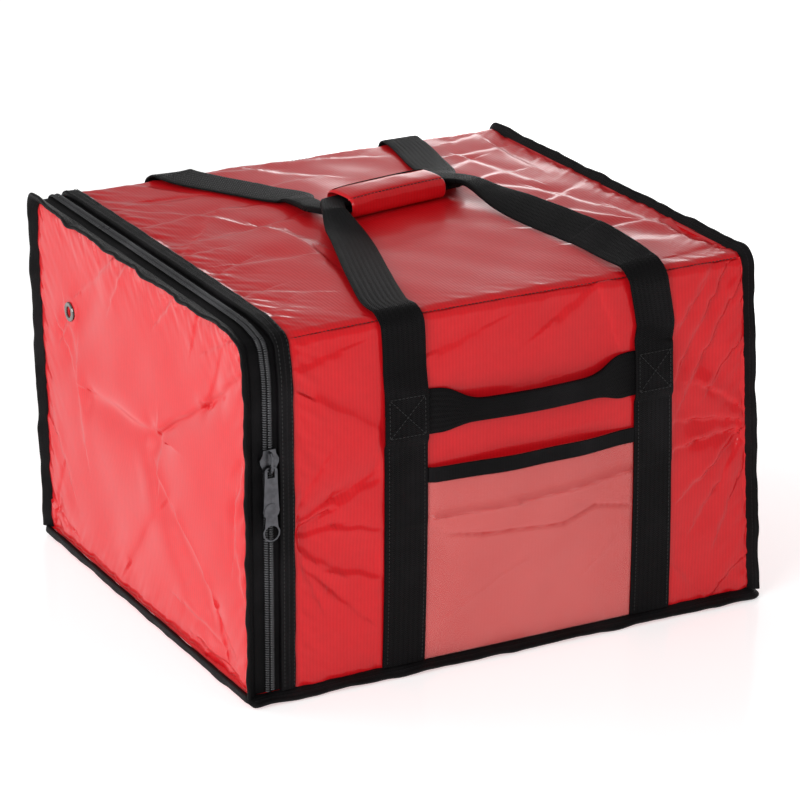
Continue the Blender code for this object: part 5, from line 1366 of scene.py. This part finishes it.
def floor_finish(name, colour, glow):
    """A pale glossy studio floor, lit a little from below, with a very faint unevenness."""
    made, tree, shader = new_material(name, {
        "Specular IOR Level": 0.5, "Emission Color": (1.0, 1.0, 1.0, 1.0), "Emission Strength": glow})
    cloud = noise(tree, object_place(tree), 3.0, 2.0)
    tree.links.new(blended(tree, cloud, dimmed(colour, 0.99), tuple(colour)), shader.inputs["Base Color"])
    tree.links.new(maths(tree, "MULTIPLY_ADD", cloud, 0.05, 0.11), shader.inputs["Roughness"])
    return made


def finish_of(name):
    """One of the bag's materials by its name, made when it is first asked for."""
    if name in bpy.data.materials:
        return bpy.data.materials[name]
    colours = bpy.context.scene.bag_colours
    pitch = bpy.context.scene.bag_sizes.rib_pitch
    makers = {
        "vinyl_ribs_across_x": lambda: vinyl(name, colours.vinyl, 0, pitch, 0.00008),
        "vinyl_ribs_across_y": lambda: vinyl(name, colours.vinyl, 1, pitch, 0.00004),
        "binding_weave": lambda: woven(name, colours.tape, colours.tape_worn, 0.0011, 0.0015, 0.58, 0.00026, 0.0062),
        "zip_tape_weave": lambda: woven(name, colours.tape, colours.tape_worn, 0.0009, 0.0012, 0.70, 0.00012),
        "webbing_weave": lambda: woven(name, colours.webbing, colours.webbing_worn, 0.0017, 0.0022, 0.62, 0.00060),
        "coil_nylon": lambda: plastic(name, colours.coil, 0.30),
        "thread": lambda: plastic(name, colours.thread, 0.60),
        "slider_metal": lambda: metal(name, colours.metal, 0.34),
        "eyelet_metal": lambda: metal(name, colours.eyelet, 0.26),
        "clear_film": lambda: film(name, colours.film, colours.film_cover),
        "studio_floor": lambda: floor_finish(name, colours.floor, bpy.context.scene.bag_sizes.floor_glow),
    }
    return makers[name]()


def dress(made, finish, slot, body, *nodes):
    """Gives a piece its finish and its body, and hides the solids that it stands for."""
    made.data.materials.clear()
    made.data.materials.append(finish_of(finish))
    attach(made, body)
    if nodes:
        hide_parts(*nodes)
    return made


# Properties

def colour_setting(name, description, default):
    """A colour that can be changed, opaque."""
    return bpy.props.FloatVectorProperty(
        name=name, description=description, subtype="COLOR", size=4, min=0.0, max=1.0, default=default + (1.0,))


def number_setting(name, description, default, low, high, **kind):
    """A number that can be changed, with its limits and its unit or subtype."""
    return bpy.props.FloatProperty(name=name, description=description, default=default, min=low, max=high, **kind)


class BagSizes(bpy.types.PropertyGroup):
    """Sizes, depths of the soft relief, and the strength of the lights"""
    fold_strength: number_setting(
        "Fold strength", "How deep the folds and dents of the vinyl are", 1.5, 0.0, 2.5, subtype="FACTOR")
    pucker_depth: number_setting(
        "Pucker depth", "Depth of the puckers beside the seams", 0.0011, 0.0, 0.003, unit="LENGTH")
    rib_pitch: number_setting(
        "Rib pitch", "Distance between the ribs of the vinyl", 0.003, 0.001, 0.01, unit="LENGTH")
    tape_wave: number_setting(
        "Tape waviness", "How unevenly the folded tapes lie", 1.0, 0.0, 1.5, subtype="FACTOR")
    coil_pitch: number_setting(
        "Coil pitch", "Distance between two loops of the zip's coil", 0.002, 0.0015, 0.003, unit="LENGTH")
    stitch_spacing: number_setting(
        "Stitch spacing", "Distance from one stitch to the next", 0.0034, 0.002, 0.006, unit="LENGTH")
    floor_size: number_setting("Floor size", "Side of the studio floor", 30.0, 5.0, 60.0, unit="LENGTH")
    key_power: number_setting("Key light", "Power of the soft key light", 16.5, 0.0, 1000.0, unit="POWER")
    side_power: number_setting(
        "Side card", "Power of the low soft light beside the flap", 35.0, 0.0, 1000.0, unit="POWER")
    rim_power: number_setting("Back light", "Power of the light behind the bag", 15.0, 0.0, 1000.0, unit="POWER")
    floor_glow: number_setting(
        "Floor glow", "How much the white floor is lit from below", 0.52, 0.0, 1.0, subtype="FACTOR")
    sky_strength: number_setting("Surround", "Strength of the white surround", 0.46, 0.0, 3.0, subtype="FACTOR")


class BagColours(bpy.types.PropertyGroup):
    """Colours of the bag's finishes and of the floor"""
    vinyl: colour_setting("Vinyl", "Colour of the coated cloth", (0.72, 0.0075, 0.013))
    tape: colour_setting("Tape", "Colour of the binding and the zip's tapes", (0.0030, 0.0026, 0.0031))
    tape_worn: colour_setting("Worn tape", "Colour of the tape where its nap is rubbed", (0.016, 0.014, 0.016))
    webbing: colour_setting("Webbing", "Colour of the straps", (0.0030, 0.0025, 0.0030))
    webbing_worn: colour_setting("Worn webbing", "Colour of the straps where they are rubbed", (0.015, 0.013, 0.015))
    coil: colour_setting("Coil", "Colour of the zip's coil", (0.040, 0.040, 0.043))
    thread: colour_setting("Thread", "Colour of the stitches", (0.006, 0.0055, 0.006))
    metal: colour_setting("Slider metal", "Colour of the slider and its pull", (0.115, 0.115, 0.125))
    eyelet: colour_setting("Eyelet metal", "Colour of the vent's eyelet", (0.24, 0.23, 0.22))
    film: colour_setting("Clear sheet", "Tint of the ticket pocket", (0.96, 0.25, 0.235))
    floor: colour_setting("Floor", "Colour of the studio floor", (0.93, 0.93, 0.93))
    film_cover: number_setting(
        "Sheet cover", "How much of what lies behind it each skin of the clear sheet hides", 0.34, 0.0, 1.0,
        subtype="FACTOR")


# Operators

class BAG_OT_shell(bpy.types.Operator):
    """Build the six padded vinyl panels"""
    bl_idname = "bag.shell"
    bl_label = "Vinyl panels"

    def execute(self, context):
        sizes = context.scene.bag_sizes
        for face, columns, rows in (("front", 360, 250), ("top", 350, 320), ("back", 180, 130)):
            made = wrap_panel(face, sizes, columns, rows)
            dress(made, "vinyl_ribs_across_x", "red_vinyl", "bag", face + "_panel")
        flap = end_panel("flap", -1, sizes, 330, 250, 0.0030)
        vent_hole(flap, (-HALF_WIDTH, *EYELET_PLACE))
        sewn = end_panel("sewn_end", 1, sizes, 140, 110, 0.0004)
        for made, node in ((flap, "flap_panel"), (sewn, "sewn_end_panel")):
            dress(made, "vinyl_ribs_across_y", "red_vinyl", "bag", node)
        base = dress(bottom_shell(sizes), "vinyl_ribs_across_x", "red_vinyl", "bag", "bottom_panel")
        return {"FINISHED"}


class BAG_OT_tapes(bpy.types.Operator):
    """Build the folded tapes over the turned-out seams"""
    bl_idname = "bag.tapes"
    bl_label = "Edge tapes"

    def execute(self, context):
        sizes = context.scene.bag_sizes
        flap = edge_tape("flap_edge_tape", -HALF_WIDTH, -1, 0.003976, sizes, 0.3, 22.0)
        sewn = edge_tape("sewn_edge_tape", HALF_WIDTH, 1, 0.002576, sizes, 1.9)
        foot = foot_tape("foot_edge_tape", sizes)
        dress(flap, "binding_weave", "black_tape", "bag", "flap_binding")
        dress(sewn, "binding_weave", "black_tape", "bag", "sewn_end_binding")
        dress(foot, "binding_weave", "black_tape", "bag", "bottom_binding")
        return {"FINISHED"}


class BAG_OT_zip(bpy.types.Operator):
    """Build the zip's tapes, its two rows of coil and the folded tape beside it"""
    bl_idname = "bag.zip"
    bl_label = "Zip band"

    def execute(self, context):
        sizes = context.scene.bag_sizes
        flap_tape = flat_band("zip_tape_by_flap", 0.0010, 0.0161, -0.0026, -0.0012, 0.7, 0.0003)
        body_tape = flat_band("zip_tape_by_body", 0.0164, 0.0267, -0.0026, -0.0012, 1.1, 0.0003)
        beside = flat_band(
            "zip_edge_tape", ZIP_BINDING_START, ZIP_BINDING_END, 0.0003, 0.0025, 2.2, 0.0009, 0.0004, 4.0, 30, 0.0006)
        core = flat_band("coil_core", CHAIN_CENTRE - 0.0014, CHAIN_CENTRE + 0.0014, -0.0012, 0.0005, 1.0, 0.0, 0.0, 3.0)
        left = coil_row("coil_by_flap", -1, sizes.coil_pitch)
        right = coil_row("coil_by_body", 1, sizes.coil_pitch)
        dress(flap_tape, "zip_tape_weave", "black_tape", "bag", "zipper_tape_flap")
        dress(body_tape, "zip_tape_weave", "black_tape", "bag", "zipper_tape_body")
        dress(beside, "binding_weave", "black_tape", "bag", "zipper_binding")
        dress(core, "zip_tape_weave", "black_coil", "bag")
        dress(left, "coil_nylon", "black_coil", "bag", "zipper_chain")
        dress(right, "coil_nylon", "black_coil", "bag", "zipper_chain")
        return {"FINISHED"}


class BAG_OT_fittings(bpy.types.Operator):
    """Give the slider, its pull and the vent's eyelet their plated metal"""
    bl_idname = "bag.fittings"
    bl_label = "Metal fittings"

    def execute(self, context):
        for node, finish in (
                ("zipper_slider", "slider_metal"), ("zipper_pull", "slider_metal"), ("vent_eyelet", "eyelet_metal")):
            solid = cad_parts[node]
            for place in solid.material_slots:
                place.material = finish_of(finish)
        return {"FINISHED"}


class BAG_OT_straps(bpy.types.Operator):
    """Build the two webbing straps"""
    bl_idname = "bag.straps"
    bl_label = "Straps"

    def execute(self, context):
        sizes = context.scene.bag_sizes
        front = strap_stations(FRONT_STRAPS, FRONT_LEFT_ROWS, FRONT_RIGHT_ROWS, FRONT_BERTH, False)
        back = strap_stations(BACK_STRAPS, BACK_LEFT_ROWS, BACK_RIGHT_ROWS, BACK_BERTH, True)
        for side, stations, seed in (("front", front, 0.4), ("back", back, 2.4)):
            made = webbing(side + "_webbing", stations, sizes, seed=seed)
            dress(made, "webbing_weave", "black_webbing", "bag", side + "_strap")
        return {"FINISHED"}


class BAG_OT_side_handle(bpy.types.Operator):
    """Build the folded webbing handle between the front straps"""
    bl_idname = "bag.side_handle"
    bl_label = "Side handle"

    def execute(self, context):
        sizes = context.scene.bag_sizes
        made = webbing("side_webbing", handle_stations(), sizes, spacing=0.0016, count=34, seed=1.0, on_skin=False)
        dress(made, "webbing_weave", "black_webbing", "bag", "side_handle")
        return {"FINISHED"}


class BAG_OT_grip(bpy.types.Operator):
    """Build the padded sleeve round the straps"""
    bl_idname = "bag.grip"
    bl_label = "Grip sleeve"

    def execute(self, context):
        sizes = context.scene.bag_sizes
        sleeve = dress(grip_sleeve("grip_sleeve"), "vinyl_ribs_across_x", "red_vinyl", "bag", "handle_grip")
        dress(grip_piping("grip_piping"), "zip_tape_weave", "black_tape", "bag")
        dress(grip_threads(sizes), "thread", "black_webbing", "bag")
        return {"FINISHED"}


class BAG_OT_pocket(bpy.types.Operator):
    """Build the clear ticket pocket and the tape along its mouth"""
    bl_idname = "bag.pocket"
    bl_label = "Ticket pocket"

    def execute(self, context):
        sheet = pocket_strip("pocket_sheet", STRAP_FOOT, POCKET_TOP, 0.0, 0.0006, 150, 140)
        mouth = pocket_strip("pocket_mouth_tape", POCKET_TOP - 0.012, POCKET_TOP + 0.0002, 0.0007, 0.0015, 150, 12)
        dress(sheet, "clear_film", "clear_sheet", "bag", "ticket_pocket")
        dress(mouth, "zip_tape_weave", "black_tape", "bag", "pocket_binding")
        return {"FINISHED"}


class BAG_OT_threads(bpy.types.Operator):
    """Sew the straps and the tapes"""
    bl_idname = "bag.threads"
    bl_label = "Stitches"

    def execute(self, context):
        sizes = context.scene.bag_sizes
        dress(strap_threads(sizes), "thread", "black_webbing", "bag")
        dress(seam_threads(sizes), "thread", "black_tape", "bag")
        return {"FINISHED"}


class BAG_OT_stage(bpy.types.Operator):
    """Set up the floor, the lights and the camera"""
    bl_idname = "bag.stage"
    bl_label = "Stage"

    def execute(self, context):
        sizes = context.scene.bag_sizes
        scene = context.scene
        half = sizes.floor_size / 2
        corners = np.array(((-half, -half, 0.0), (half, -half, 0.0), (half, half, 0.0), (-half, half, 0.0)))
        floor = mesh_object("studio_floor", corners, np.arange(4), np.array([4]))
        floor.data.materials.append(finish_of("studio_floor"))
        for name, place, size, power in (
                ("key_light", (-1.6, -1.15, 1.0), 0.9, sizes.key_power),
                ("side_card", (-2.7, 1.9, 0.9), 1.7, sizes.side_power),
                ("back_card", (2.1, 3.0, 0.58), 1.2, sizes.rim_power)):
            light = bpy.data.lights.new(name, "AREA")
            light.energy = power
            light.size = size
            lamp = bpy.data.objects.new(name, light)
            lamp.location = place
            aim = Vector((0.0, 0.0, 0.15)) - Vector(place)
            lamp.rotation_euler = aim.to_track_quat("-Z", "Y").to_euler()
            scene.collection.objects.link(lamp)
        world = bpy.data.worlds.new("white_surround")
        world.use_nodes = True
        world.node_tree.nodes["Background"].inputs["Color"].default_value = (1.0, 1.0, 1.0, 1.0)
        world.node_tree.nodes["Background"].inputs["Strength"].default_value = sizes.sky_strength
        scene.world = world
        view = bpy.data.cameras.new("photo_camera")
        view.lens = CAMERA_LENS
        view.sensor_width = CAMERA_SENSOR
        camera = bpy.data.objects.new("photo_camera", view)
        camera.location = CAMERA_PLACE
        camera.rotation_euler = (math.radians(CAMERA_PITCH), 0.0, math.radians(CAMERA_YAW))
        scene.collection.objects.link(camera)
        scene.camera = camera
        scene.view_settings.view_transform = "Standard"
        return {"FINISHED"}


class BAG_PT_sidebar(bpy.types.Panel):
    """The bag's pieces, sizes and colours"""
    bl_idname = "BAG_PT_sidebar"
    bl_label = "Delivery bag"
    bl_space_type = "VIEW_3D"
    bl_region_type = "UI"
    bl_category = "Delivery bag"

    def draw(self, context):
        """The settings in two boxes, then a button for each step."""
        layout = self.layout
        for group_name in ("bag_sizes", "bag_colours"):
            settings = getattr(context.scene, group_name)
            box = layout.box()
            for key in settings.bl_rna.properties.keys():
                if key not in ("rna_type", "name"):
                    box.prop(settings, key)
        for operator in STEPS:
            layout.operator(operator.bl_idname)


STEPS = (
    BAG_OT_stage, BAG_OT_shell, BAG_OT_tapes, BAG_OT_zip, BAG_OT_fittings, BAG_OT_straps, BAG_OT_side_handle,
    BAG_OT_grip, BAG_OT_pocket, BAG_OT_threads)
CLASSES = (BagSizes, BagColours) + STEPS + (BAG_PT_sidebar,)


def register():
    """Adds the settings, the operators and the panel to Blender."""
    for kind in CLASSES:
        bpy.utils.register_class(kind)
    bpy.types.Scene.bag_sizes = bpy.props.PointerProperty(type=BagSizes)
    bpy.types.Scene.bag_colours = bpy.props.PointerProperty(type=BagColours)


def unregister():
    """Takes them out again."""
    del bpy.types.Scene.bag_colours
    del bpy.types.Scene.bag_sizes
    for kind in reversed(CLASSES):
        bpy.utils.unregister_class(kind)


def main():
    """Builds the stage and every piece."""
    register()
    bpy.ops.bag.stage()
    bpy.ops.bag.shell()
    bpy.ops.bag.tapes()
    bpy.ops.bag.zip()
    bpy.ops.bag.fittings()
    bpy.ops.bag.straps()
    bpy.ops.bag.side_handle()
    bpy.ops.bag.grip()
    bpy.ops.bag.pocket()
    bpy.ops.bag.threads()


if __name__ == "__main__":
    main()
